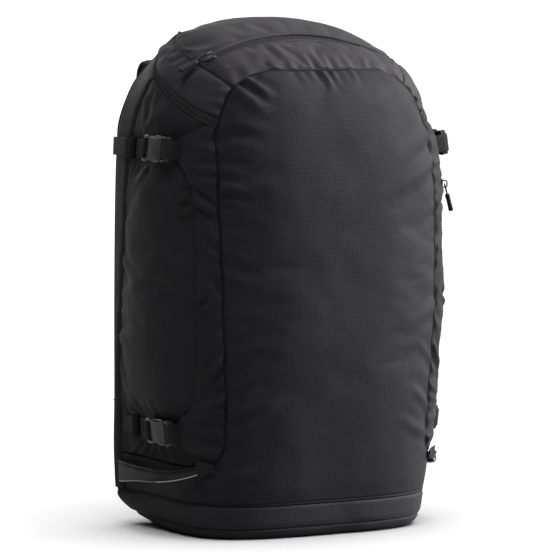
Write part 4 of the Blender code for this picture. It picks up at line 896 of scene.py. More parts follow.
SIDE_FOLDS = [
    (((0.657, 0.505), (0.640, 0.540), (0.618, 0.592)), 0.0040, -0.0022, 1.0, 0.6),
    (((0.642, 0.500), (0.628, 0.540), (0.610, 0.590)), 0.0038, 0.0014, 1.0, 0.6),
    (((0.626, 0.498), (0.615, 0.535), (0.604, 0.580)), 0.0038, -0.0020, 1.0, 0.6),
    (((0.612, 0.498), (0.604, 0.535), (0.594, 0.580)), 0.0036, 0.0014, 1.0, 0.6),
    (((0.601, 0.500), (0.590, 0.540), (0.574, 0.590)), 0.0040, -0.0018, 1.0, 0.6),
    (((0.634, 0.845), (0.602, 0.866), (0.562, 0.880)), 0.0026, 0.0012, 1.0, 0.5),
    (((0.634, 0.805), (0.610, 0.832), (0.578, 0.858)), 0.0028, 0.0012, 1.0, 0.5),
    (((0.636, 0.740), (0.620, 0.765), (0.598, 0.808)), 0.0040, 0.0013, 1.0, 0.4),
    (((0.628, 0.872), (0.592, 0.882), (0.545, 0.886)), 0.0024, 0.0012, 1.0, 0.5),
    (((0.222, 0.806), (0.240, 0.835), (0.258, 0.866)), 0.0030, 0.0016, 1.0, 0.4),
    (((0.218, 0.855), (0.230, 0.895), (0.248, 0.936)), 0.0032, 0.0016, 1.0, 0.4),
    (((0.243, 0.525), (0.260, 0.570), (0.284, 0.628)), 0.0034, 0.0020, 1.0, 0.4),
    (((0.233, 0.556), (0.250, 0.605), (0.268, 0.668)), 0.0040, 0.0014, 1.0, 0.4),
    (((0.228, 0.700), (0.245, 0.715), (0.266, 0.738)), 0.0040, 0.0012, 1.0, 0.4),
    (((0.167, 0.795), (0.150, 0.830), (0.132, 0.868)), 0.0034, 0.0018, 1.0, 0.6),
    (((0.168, 0.748), (0.150, 0.770), (0.132, 0.782)), 0.0030, 0.0016, 1.0, 0.6),
    (((0.170, 0.705), (0.160, 0.680), (0.143, 0.662)), 0.0034, 0.0018, 1.0, 0.6),
    (((0.165, 0.840), (0.150, 0.890), (0.132, 0.930)), 0.0040, 0.0018, 1.0, 0.6),
    (((0.172, 0.640), (0.160, 0.615), (0.148, 0.590)), 0.0036, 0.0014, 1.0, 0.6),
    (((0.704, 0.640), (0.722, 0.662), (0.742, 0.700)), 0.0050, -0.0012, 1.0, 0.5),
    (((0.702, 0.760), (0.720, 0.772), (0.738, 0.780)), 0.0050, -0.0010, 1.0, 0.5),
    (((0.470, 0.900), (0.462, 0.860), (0.445, 0.800)), 0.0060, 0.0012, 1.0, 0.3),
    (((0.345, 0.940), (0.352, 0.880), (0.368, 0.810)), 0.0070, 0.0012, 1.0, 0.3),
]
TOP_FOLDS = [
    (((0.902, -0.130), (0.932, -0.175), (0.955, -0.225)), 0.0048, 0.0024, 1.0, 0.5),
    (((0.902, -0.090), (0.920, -0.122), (0.938, -0.150)), 0.0038, 0.0020, 1.0, 0.5),
    (((0.902, -0.005), (0.922, -0.010), (0.940, -0.020)), 0.0040, 0.0022, 1.0, 0.5),
    (((0.902, 0.030), (0.918, 0.030), (0.932, 0.026)), 0.0032, 0.0016, 1.0, 0.5),
    (((0.902, 0.140), (0.916, 0.146), (0.930, 0.150)), 0.0034, 0.0014, 1.0, 0.5),
    (((0.900, -0.210), (0.912, -0.230), (0.924, -0.250)), 0.0034, 0.0014, 1.0, 0.5),
    (((0.900, 0.220), (0.914, 0.240), (0.926, 0.260)), 0.0036, 0.0014, 1.0, 0.5),
    (((0.902, 0.080), (0.914, 0.084), (0.926, 0.086)), 0.0030, 0.0012, 1.0, 0.5),
    (((0.902, -0.050), (0.914, -0.058), (0.926, -0.070)), 0.0030, 0.0014, 1.0, 0.5),
]
GUSSET_FOLDS = [
    (((0.815, 0.400), (0.810, 0.450), (0.795, 0.495)), 0.0045, 0.0020, 1.0, 0.5),
    (((0.788, 0.405), (0.788, 0.450), (0.785, 0.500)), 0.0040, 0.0016, 1.0, 0.5),
    (((0.838, 0.385), (0.832, 0.430), (0.822, 0.480)), 0.0045, 0.0014, 1.0, 0.5),
    (((0.800, 0.960), (0.820, 0.880), (0.850, 0.800)), 0.0070, 0.0016, 1.0, 0.4),
]


def mirrored(folds):
    return [([(v, -t) for v, t in k], w, h, a, b) for k, w, h, a, b in folds]


# ---------------------------------------------------------------- cloth relaxation
def resample(field, r, c):
    """Cubic reading of an even grid of vectors at shares r (rows) and c (columns)."""
    def along(f, s):
        n = f.shape[0]
        x = np.clip(s, 0, 1) * (n - 1)
        i = np.minimum(x.astype(int), n - 2)
        u = (x - i).reshape(-1, *([1] * (f.ndim - 1)))
        g = lambda k: f[np.clip(i + k, 0, n - 1)]
        return 0.5 * (2 * g(0) + (g(1) - g(-1)) * u + (2 * g(-1) - 5 * g(0) + 4 * g(1) - g(2)) * u**2 + (3 * g(0) - g(-1) - 3 * g(1) + g(2)) * u**3)
    a = along(field, r)
    return np.swapaxes(along(np.swapaxes(a, 0, 1), c), 0, 1)


def simulate(points, quads, pinned, pressure, grow, frames_n, bending=0.4, stiff=12.0, quality=5):
    """Blender Cloth on a skin; returns the settled points."""
    me = bpy.data.meshes.new("sim")
    me.from_pydata(points.tolist(), [], quads.tolist() if isinstance(quads, np.ndarray) else quads)
    me.update()
    ob = bpy.data.objects.new("sim", me)
    bpy.context.scene.collection.objects.link(ob)
    vg = ob.vertex_groups.new(name="pin")
    if len(pinned):
        vg.add([int(k) for k in pinned], 1.0, "REPLACE")
    mod = ob.modifiers.new("Cloth", "CLOTH")
    s = mod.settings
    s.quality = quality
    s.mass = 0.15
    s.tension_stiffness = s.compression_stiffness = stiff
    s.shear_stiffness = stiff * 0.6
    s.bending_stiffness = bending
    s.tension_damping = s.compression_damping = s.shear_damping = 6.0
    s.air_damping = 4.0
    s.effector_weights.gravity = 0.0
    if len(pinned):
        s.vertex_group_mass = "pin"
        s.pin_stiffness = 1.0
    s.shrink_min = -grow
    s.use_pressure = True
    s.uniform_pressure_force = pressure
    mod.collision_settings.use_collision = False
    mod.collision_settings.use_self_collision = False
    mod.point_cache.frame_start, mod.point_cache.frame_end = 1, frames_n + 2
    sc = bpy.context.scene
    for f in range(1, frames_n + 1):
        sc.frame_set(f)
    dg = bpy.context.evaluated_depsgraph_get()
    got = ob.evaluated_get(dg).to_mesh()
    out = np.zeros(len(got.vertices) * 3, np.float32)
    got.vertices.foreach_get("co", out)
    ob.evaluated_get(dg).to_mesh_clear()
    bpy.data.objects.remove(ob, do_unlink=True)
    bpy.data.meshes.remove(me)
    sc.frame_set(1)
    return out.reshape(-1, 3).astype(float)


def relax(pt, rows, cols, step, pressure, grow, cap_out, cap_in, frames_n=18, bending=0.4, keep=None):
    """Lets a patch's fabric swell and buckle between its sewn edges.  rows, cols are the patch's shares."""
    nr = max(8, int(round(pt.low[-1].mean() / step)))
    nc = max(6, int(round(pt.left[:, -1].mean() / step)))
    r, c = np.linspace(0, 1, nr), np.linspace(0, 1, nc)
    near_r = np.array([np.interp(x, rows, np.arange(len(rows))) for x in r])
    near_c = np.array([np.interp(x, cols, np.arange(len(cols))) for x in c])

    def pick(f):
        i = np.minimum(near_r.astype(int), f.shape[0] - 2)
        j = np.minimum(near_c.astype(int), f.shape[1] - 2)
        a, b = (near_r - i)[:, None], (near_c - j)[None, :]
        if f.ndim == 3:
            a, b = a[..., None], b[..., None]
        g = lambda k, l: f[np.ix_(i + k, j + l)]
        return (1 - a) * ((1 - b) * g(0, 0) + b * g(0, 1)) + a * ((1 - b) * g(1, 0) + b * g(1, 1))
    base, nrm = pick(pt.points()), pick(pt.n)
    ids = np.arange(nr * nc).reshape(nr, nc)
    pin = np.zeros((nr, nc), bool)
    pin[[0, -1], :] = pin[:, [0, -1]] = True
    if keep is not None:
        pin |= pick(keep.astype(float)) > 0.5
    got = simulate(base.reshape(-1, 3), grid_quads(nr, nc), ids[pin], pressure, grow, frames_n, bending).reshape(nr, nc, 3)
    delta = got - base
    out = np.sum(delta * nrm, axis=2)
    side = delta - nrm * out[..., None]
    out = np.where(out > 0, cap_out * np.tanh(out / cap_out), cap_in * np.tanh(out / cap_in))
    ln = np.linalg.norm(side, axis=2, keepdims=True)
    side = side * np.minimum(1.0, 0.004 / (ln + 1e-9))
    pt.move = pt.move + resample(side + nrm * out[..., None], rows, cols)


# ---------------------------------------------------------------- stitches
STITCHES = {"bag": [], "lid": []}


def stitch_line(points, normals, body, pitch=0.0034, length=0.0023, r=0.00034, lift=0.00012):
    """Sewing thread along a line: short rounded dashes lying on the cloth."""
    points, normals = np.asarray(points, float), np.asarray(normals, float)
    run = np.concatenate([[0], np.cumsum(np.linalg.norm(np.diff(points, axis=0), axis=1))])
    mids = np.arange(pitch / 2, run[-1], pitch)
    at = lambda s, f: np.stack([np.interp(s, run, f[:, k]) for k in range(3)], 1)
    a, b = at(mids - length / 2, points), at(mids + length / 2, points)
    n = at(mids, normals)
    n /= np.linalg.norm(n, axis=1, keepdims=True)
    d = b - a
    d /= np.linalg.norm(d, axis=1, keepdims=True) + 1e-12
    w = np.cross(n, d)
    w /= np.linalg.norm(w, axis=1, keepdims=True) + 1e-12
    mid = (a + b) / 2 + n * lift
    rings = [(-0.5, 0.35, -0.6), (-0.3, 0.95, 0.1), (0.3, 0.95, 0.1), (0.5, 0.35, -0.6)]
    ang = np.linspace(0, 2 * math.pi, 6, endpoint=False)
    verts = []
    for s, k, up in rings:
        for q in ang:
            verts.append(mid + d * (s * length) + w * (r * k * math.cos(q)) + n * (r * k * math.sin(q) + r * up))
    verts = np.stack(verts, 1)
    m = len(ang)
    one = [tuple(q) for q in grid_quads(4, m, 0, True).tolist()] + [tuple(range(m - 1, -1, -1)), tuple(range(3 * m, 4 * m))]
    for k in range(len(verts)):
        STITCHES[body].append((verts[k], one))


def seam_stitches(v, t, off, body, **kw):
    p, n = point_normal(v, t)
    stitch_line(p + n * np.asarray(off, float)[..., None], n, body, **kw)


# ---------------------------------------------------------------- helpers for sewn pieces
FOLD_AT = surf(V_SPLIT, 0.0)


def across_fold(ob):
    """Bakes the piece's placement into its mesh."""
    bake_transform(ob)


def rows_between(v0, v1, step, lo=True, hi=True):
    y0, y1 = float(y_of(v0)), float(y_of(v1))
    s = knots(y1 - y0, step, lo, hi)
    return v_of(y0 + (y1 - y0) * s), s


def side_patch(v, t, sg, off=0.0):
    """Patch given for the right side; mirrored for the left.  Keeps the inner and rear distances."""
    v, t = np.broadcast_arrays(np.asarray(v, float), np.asarray(t, float))
    if sg < 0:
        v, t = v[:, ::-1], -t[:, ::-1]
    pt = Patch(v, t, off)
    pt.inner, pt.rear = (pt.left, pt.right) if sg > 0 else (pt.right, pt.left)
    pt.at = np.abs(pt.t)
    return pt


def flip(share, sg):
    return share if sg > 0 else 1 - share[::-1]


def line_at(pt, edge, dist):
    """Points and normals on the finished patch at a distance from one edge."""
    p, d = pt.points(), getattr(pt, edge)
    if edge in ("left", "right", "inner", "rear"):
        rows = [(p[i], d[i], pt.n[i]) for i in range(p.shape[0])]
    else:
        rows = [(p[:, j], d[:, j], pt.n[:, j]) for j in range(p.shape[1])]
    out, nn = [], []
    for q, x, n in rows:
        o = np.argsort(x)
        out.append([np.interp(dist, x[o], q[o, k]) for k in range(3)])
        nn.append([np.interp(dist, x[o], n[o, k]) for k in range(3)])
    return np.array(out), np.array(nn)


def cord_object(name, points, r, mat, sides=8, closed=False):
    v, f, w = tube(points, r, sides, closed)
    return mesh_object(name, v, f, mat, w, 50)


def seam_noise(pt, size, height, seed):
    return height * (noise(pt.p, size, seed) + 0.5 * noise(pt.p, size * 0.47, seed + 5))


# ---------------------------------------------------------------- front
def front_face():
    v0, v1, v2 = V_BASE + GAP_V, V_SKIRT - GAP_V, 0.8992
    low_v, low_s = rows_between(v0, v1, 0.0036)
    high_v, _ = rows_between(v1, v2, 0.0030, lo=False)
    vs = np.concatenate([low_v, high_v[1:]])
    ys = y_of(vs)
    rows = (ys - ys[0]) / (ys[-1] - ys[0])
    edge = arch_t(vs) - GAP_T
    cols = knots(0.27, 0.0031)
    mid = Patch(vs[:, None], (2 * cols - 1)[None, :] * edge[:, None])
    fade = step01((mid.v - v1) / 0.010)
    e_side = np.minimum(mid.left, mid.right) / np.maximum(fade, 1e-3) + (1 - fade) * 0.05
    e_all = np.minimum(np.minimum(e_side, mid.low), mid.high)
    mid.d += 0.0012 * step01(e_all / 0.02)
    mid.d += creases(mid, FRONT_FOLDS, 1.5) * step01(e_all / 0.003)
    mid.d += seam_noise(mid, 0.045, 0.0007, 1) * step01(e_all / 0.015)
    # gathers along the arch top
    along = mid.t * half_u(mid.v)
    mid.d += 0.0007 * np.sin(along / 0.0052 + 1.5 * np.sin(along / 0.021)) * np.exp(-mid.high / 0.009) * step01(mid.high / 0.002)
    relax(mid, rows, cols, 0.0055, 1.6, 0.010, 0.0050, 0.0030, keep=mid.v < v1)
    near = np.exp(-np.minimum(np.minimum(mid.left, mid.right), mid.high) / 0.040)
    mid.move = mid.move * (step01((mid.v - v1 - 0.004) / 0.16) * (0.40 + 0.60 * near))[..., None]
    mid.d += roll(mid.low, 0.0030, 0.0034) + roll(e_side, 0.0022, 0.0028) + roll(mid.high, 0.0024, 0.0030)
    patches = [mid]
    share = knots(0.145, 0.0036, lo=False)
    for side, sg in SIDES:
        t0, t1 = float(arch_t(v1)) - GAP_T, (rear_t(low_v) - GAP_T)[:, None]
        pt = side_patch(low_v[:, None], t0 + (t1 - t0) * share[None, :], sg)
        f = step01(pt.inner / 0.012)
        e_top = pt.high / np.maximum(f, 1e-3) + (1 - f) * 0.05
        e = np.minimum(np.minimum(e_top, pt.low), pt.rear)
        pt.d += 0.0012 * step01(e / 0.02) + seam_noise(pt, 0.045, 0.0007, 1) * step01(e / 0.015)
        pt.d += creases(pt, FRONT_FOLDS, 1.5) * step01(e / 0.003) * step01(1 - pt.inner / 0.03)
        pt.d += roll(pt.low, 0.0030, 0.0034) + roll(e_top, 0.0019, 0.0026) + roll(pt.rear, 0.0016, 0.0022)
        patches.append(pt)
    ob = cloth_object("front_face", patches, 0.0024, M["ripstop"])
    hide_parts("front_panel", "lower_front_panel", "lid_front_panel")
    across_fold(ob)
    # dark cord sunk in the arched seam: painted shade of the seam's groove
    v_up = np.concatenate([np.linspace(0.1462, 0.30, 60), np.linspace(0.30, 0.86, 150)[1:], np.linspace(0.86, 0.9, 40)[1:]])
    t_up = arch_t(v_up)
    flat = np.linspace(-0.250, 0.250, 60)[1:-1]
    v_all = np.concatenate([v_up, np.full(len(flat), 0.9), v_up[::-1]])
    t_all = np.concatenate([t_up, -flat, -t_up[::-1]])
    path = even_path(surf(v_all, t_all, np.full(len(v_all), -0.0011)), 0.0022)
    ob = cord_object("arch_seam_shade_cord", path, 0.0013, M["seam_painted_shade"])
    across_fold(ob)


front_face()


# ---------------------------------------------------------------- wings and sides
def strap_pinch(pt):
    """0 under the side straps, 1 away from them."""
    z = pt.p[..., 2]
    k = np.ones(z.shape)
    for zc, yc in (STRAP_UPPER, STRAP_LOWER):
        k = np.minimum(k, 1 - np.exp(-((z - zc) / 0.021) ** 2))
    return k


def wing(side, sg):
    vs, rows = rows_between(0.1492, 0.7660, 0.0028)
    cols = knots(0.042, 0.0028)
    ta, tb = arch_t(vs) + GAP_T, wing_t(vs)
    pt = side_patch(vs[:, None], ta[:, None] * (1 - cols) + tb[:, None] * cols, sg)
    share = flip(cols, sg)
    folds = WING_FOLDS if sg > 0 else mirrored(WING_FOLDS)
    e = np.minimum(np.minimum(pt.inner, pt.rear), np.minimum(pt.low, pt.high))
    pt.d += 0.0010 + 0.0014 * step01(e / 0.015) + 0.0010 * step01(1 - pt.rear / 0.010)
    pt.d = np.maximum(pt.d + creases(pt, folds, 1.5 if sg < 0 else 0.9) * step01(pt.inner / 0.003), -0.0016)
    pt.d += seam_noise(pt, 0.030, 0.0007, 3 + sg) * step01(e / 0.006)
    # the free edge waves a little between the strap ends
    z = pt.p[..., 2]
    pt.d += 0.0013 * np.sin(z / 0.019 + 0.6 * sg) * step01(1 - pt.rear / 0.014) * strap_pinch(pt)
    relax(pt, rows, share, 0.0045, 1.2, 0.010, 0.0026, 0.0014)
    pt.d += roll(pt.inner, 0.0036, 0.0050) + roll(pt.rear, 0.0007, 0.0012) + roll(pt.high, 0.0008, 0.0012) + roll(pt.low, 0.0010, 0.0012)
    ob = cloth_object(side + "_wing_cloth", pt, 0.0015, M["ripstop"])
    settle(ob, "bag", [side + "_wing"])
    # bound free edge: a real binding, given the darker piping cloth so that it also paints the shadow line along the
    # wing's edge
    p, n = line_at(pt, "rear", 0.0)
    q, m = line_at(pt, "high", 0.0)
    o = np.argsort(np.linalg.norm(q - p[-1], axis=1))
    p = even_path(np.concatenate([p, q[o][1:]]) - np.concatenate([n, m[o][1:]]) * 0.0007, 0.0022)
    ob = cord_object(side + "_wing_binding_painted_shade", p, 0.0007, M["pipe"])
    settle(ob, "bag")
    a, n = line_at(pt, "rear", 0.0030)
    stitch_line(a, n, "bag")
    return pt


def side_panel(side, sg):
    vs, rows = rows_between(V_SKIRT + GAP_V, V_SPLIT - V_TAPE - GAP_V, 0.0034)
    cols = knots(0.185, 0.0036, lo=False)
    ta = arch_t(vs) + 0.012
    pt = side_patch(vs[:, None], ta[:, None] * (1 - cols) + (rear_t(vs)[:, None] - GAP_T) * cols, sg)
    share = flip(cols, sg)
    k = strap_pinch(pt)
    edge_t = wing_t(np.clip(pt.v, 0.1492, 0.7660))
    under = 1 - step01((pt.at - edge_t + 0.012) / 0.070)
    e = np.minimum(np.minimum(pt.low, pt.high), pt.rear)
    pt.d += -WING_DROP * under - 0.0012 * (1 - k) * (1 - under)
    pt.d += 0.0034 * k * step01((pt.at - edge_t - 0.010) / 0.13) * step01(pt.rear / 0.05) * step01(np.minimum(pt.low, pt.high) / 0.05)
    folds = SIDE_FOLDS if sg > 0 else mirrored(SIDE_FOLDS)
    pt.d += creases(pt, folds, 1.7) * step01(e / 0.003) * (0.35 + 0.65 * k) * (1 - under)
    pt.d += seam_noise(pt, 0.040, 0.0008, 7 + sg) * step01(e / 0.012) * (1 - under) * (0.3 + 0.7 * k)
    z = pt.p[..., 2]
    hold = (pt.at < edge_t + 0.010) | (np.abs(z - STRAP_UPPER[0]) < 0.013) | (np.abs(z - STRAP_LOWER[0]) < 0.013)
    relax(pt, rows, share, 0.0050, 1.8, 0.012, 0.0050, 0.0018, keep=hold)
    if sg > 0:
        # flat under the pocket's zip, so that its slider has a clear run
        flat = np.exp(-np.clip(np.abs(pt.at - 0.538) * half_u(pt.v) / 0.010 - 0.6, 0, 9) ** 2) * step01((z - 0.222) / 0.020) * step01((0.412 - z) / 0.014)
        pt.d = pt.d * (1 - flat) - (WING_DROP + 0.0008) * flat
        pt.move = pt.move * (1 - flat)[..., None]
    pt.d += roll(pt.rear, 0.0018, 0.0024) + roll(pt.high, 0.0018, 0.0022) + roll(pt.low, 0.0016, 0.0022) * (1 - under)
    ob = cloth_object(side + "_side_cloth", pt, 0.0024, M["side"])
    settle(ob, "bag", [side + "_side_panel"])
    for edge in ("rear", "high"):
        a, n = line_at(pt, edge, 0.0036)
        keep = (np.abs(pt.t).max(0 if edge == "high" else 1) > 0.5)
        stitch_line(a[keep], n[keep], "bag")
    return pt


def edge_band(name, v0, v1, body, seam):
    """Padded strip between the side seam and the back."""
    for side, sg in SIDES:
        vs, rows = rows_between(v0, v1, 0.0034)
        cols = knots(0.036, 0.0030)
        pt = side_patch(vs[:, None], (seam(vs)[:, None] + GAP_T) * (1 - cols) + 1.001 * cols, sg)
        e = np.minimum(np.minimum(pt.low, pt.high), np.minimum(pt.inner, pt.rear))
        pt.d += 0.0016 * step01(e / 0.006) + seam_noise(pt, 0.025, 0.0004, 11 + sg) * step01(e / 0.004)
        pt.d += roll(pt.inner, 0.0018, 0.0024) + roll(pt.rear, 0.0016, 0.0024) + roll(pt.low, 0.0016, 0.0022) + roll(pt.high, 0.0016, 0.0022)
        ob = cloth_object(side + "_" + name, pt, 0.0024, M["side"])
        settle(ob, body)
        a, n = line_at(pt, "inner", 0.0030)
        stitch_line(a, n, body)
        vv = np.linspace(v0 + 0.002, v1 - (0.002 if body == "bag" else 0.028), 260)
        path = even_path(surf(vv, np.full(len(vv), sg * 1.0035), np.full(len(vv), 0.0006)), 0.0024)
        ob = cord_object(side + "_" + name + "_piping", path, 0.0017, M["pipe"])
        settle(ob, body)


WINGS, SIDE_CLOTH = {}, {}
for side, sg in SIDES:
    WINGS[side] = wing(side, sg)
    SIDE_CLOTH[side] = side_panel(side, sg)
edge_band("edge_band", V_BASE + GAP_V, V_SPLIT - V_TAPE - GAP_V, "bag", rear_t)
edge_band("lid_edge_band", V_SPLIT + V_TAPE + GAP_V, 0.984, "lid", lambda v: np.full(len(v), T_REAR))


# ---------------------------------------------------------------- base
def base():
    v_lo, v_seam, v_hi = 0.0, 0.0335, V_BASE - GAP_V
    ts = np.concatenate([np.linspace(-1.5, -1.06, 34), np.linspace(-1.06, -0.94, 20)[1:], np.linspace(-0.94, 0.94, 200)[1:],
                         np.linspace(0.94, 1.06, 20)[1:], np.linspace(1.06, 1.5, 34)[1:]])
    for name, v0, v1, joins in (("base_band_lower", v_lo, v_seam - 0.0005, ()), ("base_band_upper", v_seam + 0.0005, v_hi, ())):
        vs, rows = rows_between(v0, v1, 0.0026)
        pt = Patch(vs[:, None], ts[None, :])
        e = np.minimum(pt.low, pt.high)
        pt.d += 0.0009 * step01(e / 0.006) + seam_noise(pt, 0.035, 0.0005, 15) * step01(e / 0.005)
        for tj in (-0.432, 0.432):
            x = np.abs(pt.t - tj) * half_u(pt.v)
            pt.d += roll(x, 0.0012, 0.0016)
        if v0 > 0:
            pt.d += roll(pt.low, 0.0010, 0.0014) + roll(pt.high, 0.0030, 0.0034)
        else:
            pt.d += roll(pt.high, 0.0010, 0.0014)
            pt.move[..., 2] = np.maximum(0.0004 - pt.points()[..., 2], 0)
        # the pattern's ends weld at the middle of the back
        pts = pt.points()
        nr, nc = pt.v.shape
        quads = grid_quads(nr, nc - 1, 0, True)
        v, q = thicken(pts[:, :-1].reshape(-1, 3), quads, pt.n[:, :-1].reshape(-1, 3), 0.0024)
        v[:, 2] = np.maximum(v[:, 2], 0.0003)
        w = pt.weave()[:, :-1].reshape(-1, 2)
        ob = mesh_object(name, v, q, M["base"], np.concatenate([w, w]), 60)
        settle(ob, "bag", ["base_band"] if v0 > 0 else ())
        if v0 > 0:
            a, n = line_at(pt, "high", 0.0042)
            stitch_line(a, n, "bag")
        else:
            a, n = line_at(pt, "high", 0.0024)
            stitch_line(a, n, "bag")
    # dark cord sunk in the groove between skirt and base band: painted shade of the groove under the skirt's edge
    ring = np.linspace(-1.5, 1.5, 520)[:-1]
    ob = cord_object("base_seam_shade_cord", surf(np.full(len(ring), V_BASE), ring, np.full(len(ring), -0.0017)), 0.0018, M["seam_painted_shade"], 8, True)
    settle(ob, "bag")
    # underside: a board covered in coated cloth, with a sewn rim and a pressed grid
    rim = surf(np.zeros(len(ts) - 1), ts[:-1])
    shares = np.concatenate([[1.0, 0.995, 0.985, 0.97, 0.955, 0.94, 0.92], np.linspace(0.90, 0.06, 40)])
    centre = np.array((0.0, 0.0, 0.0))
    grid = centre + (rim - centre)[None] * shares[:, None, None]
    x, y = grid[..., 0], grid[..., 1]
    cell = np.minimum(np.abs(np.sin(math.pi * (x + y) / 0.05)), np.abs(np.sin(math.pi * (x - y) / 0.05)))
    inside = step01((0.93 - shares) / 0.03)[:, None]
    grid[..., 2] = 0.0006 + 0.0010 * np.exp(-((shares - 0.945) / 0.008) ** 2)[:, None] + 0.0008 * (1 - step01(cell / 0.16)) * inside
    nr, nc = grid.shape[:2]
    skin = grid.reshape(-1, 3)
    quads = grid_quads(nr, nc, 0, True)
    hub = len(skin)
    verts = np.concatenate([skin, [[0, 0, 0.0007]]])
    up = verts + np.array((0, 0, 0.0022))
    n = len(verts)
    faces = [tuple(q) for q in quads.tolist()]
    faces += [((nr - 1) * nc + j, (nr - 1) * nc + (j + 1) % nc, hub) for j in range(nc)]
    back = [tuple(k + n for k in reversed(f)) for f in faces]
    wall = [((j + 1) % nc, j, j + n, (j + 1) % nc + n) for j in range(nc)]
    verts = np.concatenate([verts, up])
    ob = mesh_object("base_underside", verts, outward(verts, faces + back + wall), M["under"], verts[:, :2], 60)
    settle(ob, "bag", ["base_panel"])


base()


# ---------------------------------------------------------------- main zip
def main_zip(name, way, body, node):
    """One half of the main zip: tape, sewn edge and coil, from the left wing round the back to the right."""
    tt = np.linspace(0.4185, 3.0 - 0.4185, 1500)
    s = np.array([0.008, 0.05, 0.10, 0.15, 0.20, 0.26, 0.32, 0.42, 0.55, 0.68, 0.78, 0.88, 1.02])
    if way < 0:
        s = s[::-1]
    pt = Patch((V_SPLIT + way * V_TAPE * s)[:, None], tt[None, :])
    run = pt.left[len(s) // 2][None, :]
    q = np.abs(pt.v - V_SPLIT) / V_TAPE
    teeth = 0.5 + 0.5 * np.cos(2 * math.pi * run / 0.0019 + (0 if way > 0 else math.pi))
    pt.d += -0.0013 + 0.0017 * np.exp(-((q - 0.15) / 0.11) ** 2) * (0.35 + 0.65 * teeth)
    pt.d += 0.0008 * (0.5 + 0.5 * np.cos(2 * math.pi * run / 0.0044)) * step01((q - 0.30) / 0.12) * step01((1.0 - q) / 0.1)
    pt.d -= 0.0006 * step01((q - 0.90) / 0.1)
    verts, quads, normals, _ = skin_of([pt])
    verts, quads = thicken(verts, quads, normals, 0.0011)
    w = np.stack([np.broadcast_to(run, pt.v.shape), q * 0.008], -1).reshape(-1, 2)
    ob = mesh_object(name, verts, quads, M["tape"], np.concatenate([w, w]), 70)
    settle(ob, body, [node])
    a, n = line_at(pt, "low" if way < 0 else "high", 0.0022)
    stitch_line(a, n, body, pitch=0.0030, length=0.0020)


main_zip("main_zip_lower_half", -1, "bag", "main_zip_lower")
main_zip("main_zip_upper_half", 1, "lid", "main_zip_upper")


# ---------------------------------------------------------------- lid
AXIS_U = np.array(ZIP_UP) / np.linalg.norm(ZIP_UP)
ZIP_C = np.array(ZIP_APEX) - ZIP_RADIUS * AXIS_U
ZIP_AXIS = np.cross(AXIS_U, (1.0, 0, 0))
ZIP_N = np.array(ZIP_NORMAL) / np.linalg.norm(ZIP_NORMAL)
ZIP_W = np.cross(ZIP_N, (1.0, 0, 0))


def turned(p, deg):
    """Points turned about the zip arc's axis; p (..., 3), deg broadcast to p."""
    p = np.asarray(p, float) - ZIP_C
    a = np.radians(np.asarray(deg, float))[..., None]
    k = ZIP_AXIS
    return p * np.cos(a) + np.cross(np.broadcast_to(k, p.shape), p) * np.sin(a) + k * (p @ k)[..., None] * (1 - np.cos(a)) + ZIP_C


def arc_vt(deg):
    p = turned(np.array(ZIP_APEX), np.array(deg))
    part = TABLE[320:, 320:881]
    i, j = np.unravel_index(np.argmin(np.sum((part - p) ** 2, axis=2)), part.shape[:2])
    return V_TABLE[320 + i], T_TABLE[320 + j]


ARC = np.array([arc_vt(d) for d in np.linspace(-ZIP_HALF_DEG, ZIP_HALF_DEG, 61)])
ARC_V = np.polyfit(ARC[:, 1] ** 2, ARC[:, 0], 3)
ARC_T = float(np.abs(ARC[[0, -1], 1]).mean())
T_END = 0.600


def zip_line(t):
    t = np.abs(np.asarray(t, float))
    inside = np.polyval(ARC_V, np.minimum(t, ARC_T) ** 2)
    v_end = float(np.polyval(ARC_V, ARC_T ** 2))
    goal = float(top_v(T_END)) + 0.0012
    return np.where(t <= ARC_T, inside, v_end + (goal - v_end) * np.clip((t - ARC_T) / (T_END - ARC_T), 0, 1))


def zip_slot(t):
    """Half width of the zip opening, in v."""
    t = np.abs(np.asarray(t, float))
    slope = np.polyval(np.polyder(ARC_V), np.minimum(t, ARC_T) ** 2) * 2 * np.minimum(t, ARC_T)
    full = 0.0056 * np.sqrt(1 + (4.2 * slope) ** 2)
    return 0.0008 + (full - 0.0008) * step01((ARC_T + 0.012 - t) / 0.02)


def top_pull_line():
    """The top pull's middle line at rest, from its pin to the end of its grip."""
    at = turned(np.array(ZIP_APEX), np.array(ZIP_REST_DEG))
    n = turned(np.array(ZIP_APEX) + ZIP_N, np.array(ZIP_REST_DEG)) - at
    s = turned(np.array(ZIP_APEX) + np.array((1.0, 0, 0)), np.array(ZIP_REST_DEG)) - at
    out = np.array((-0.825, 0.100, -0.550))
    out /= np.linalg.norm(out)
    up = n - out * np.dot(n, out)
    up /= np.linalg.norm(up)
    lift = out * math.cos(math.radians(10)) + up * math.sin(math.radians(10))
    return at + n * 0.0056 - s * 0.0004 + lift * np.linspace(0.002, 0.042, 12)[:, None]


def arch_top(t):
    keys = sorted((tk, vk) for vk, tk in ARCH if vk >= 0.855)
    t = np.abs(np.asarray(t, float))
    return np.where(t <= 0.250, 0.900, pchip(keys)(t))


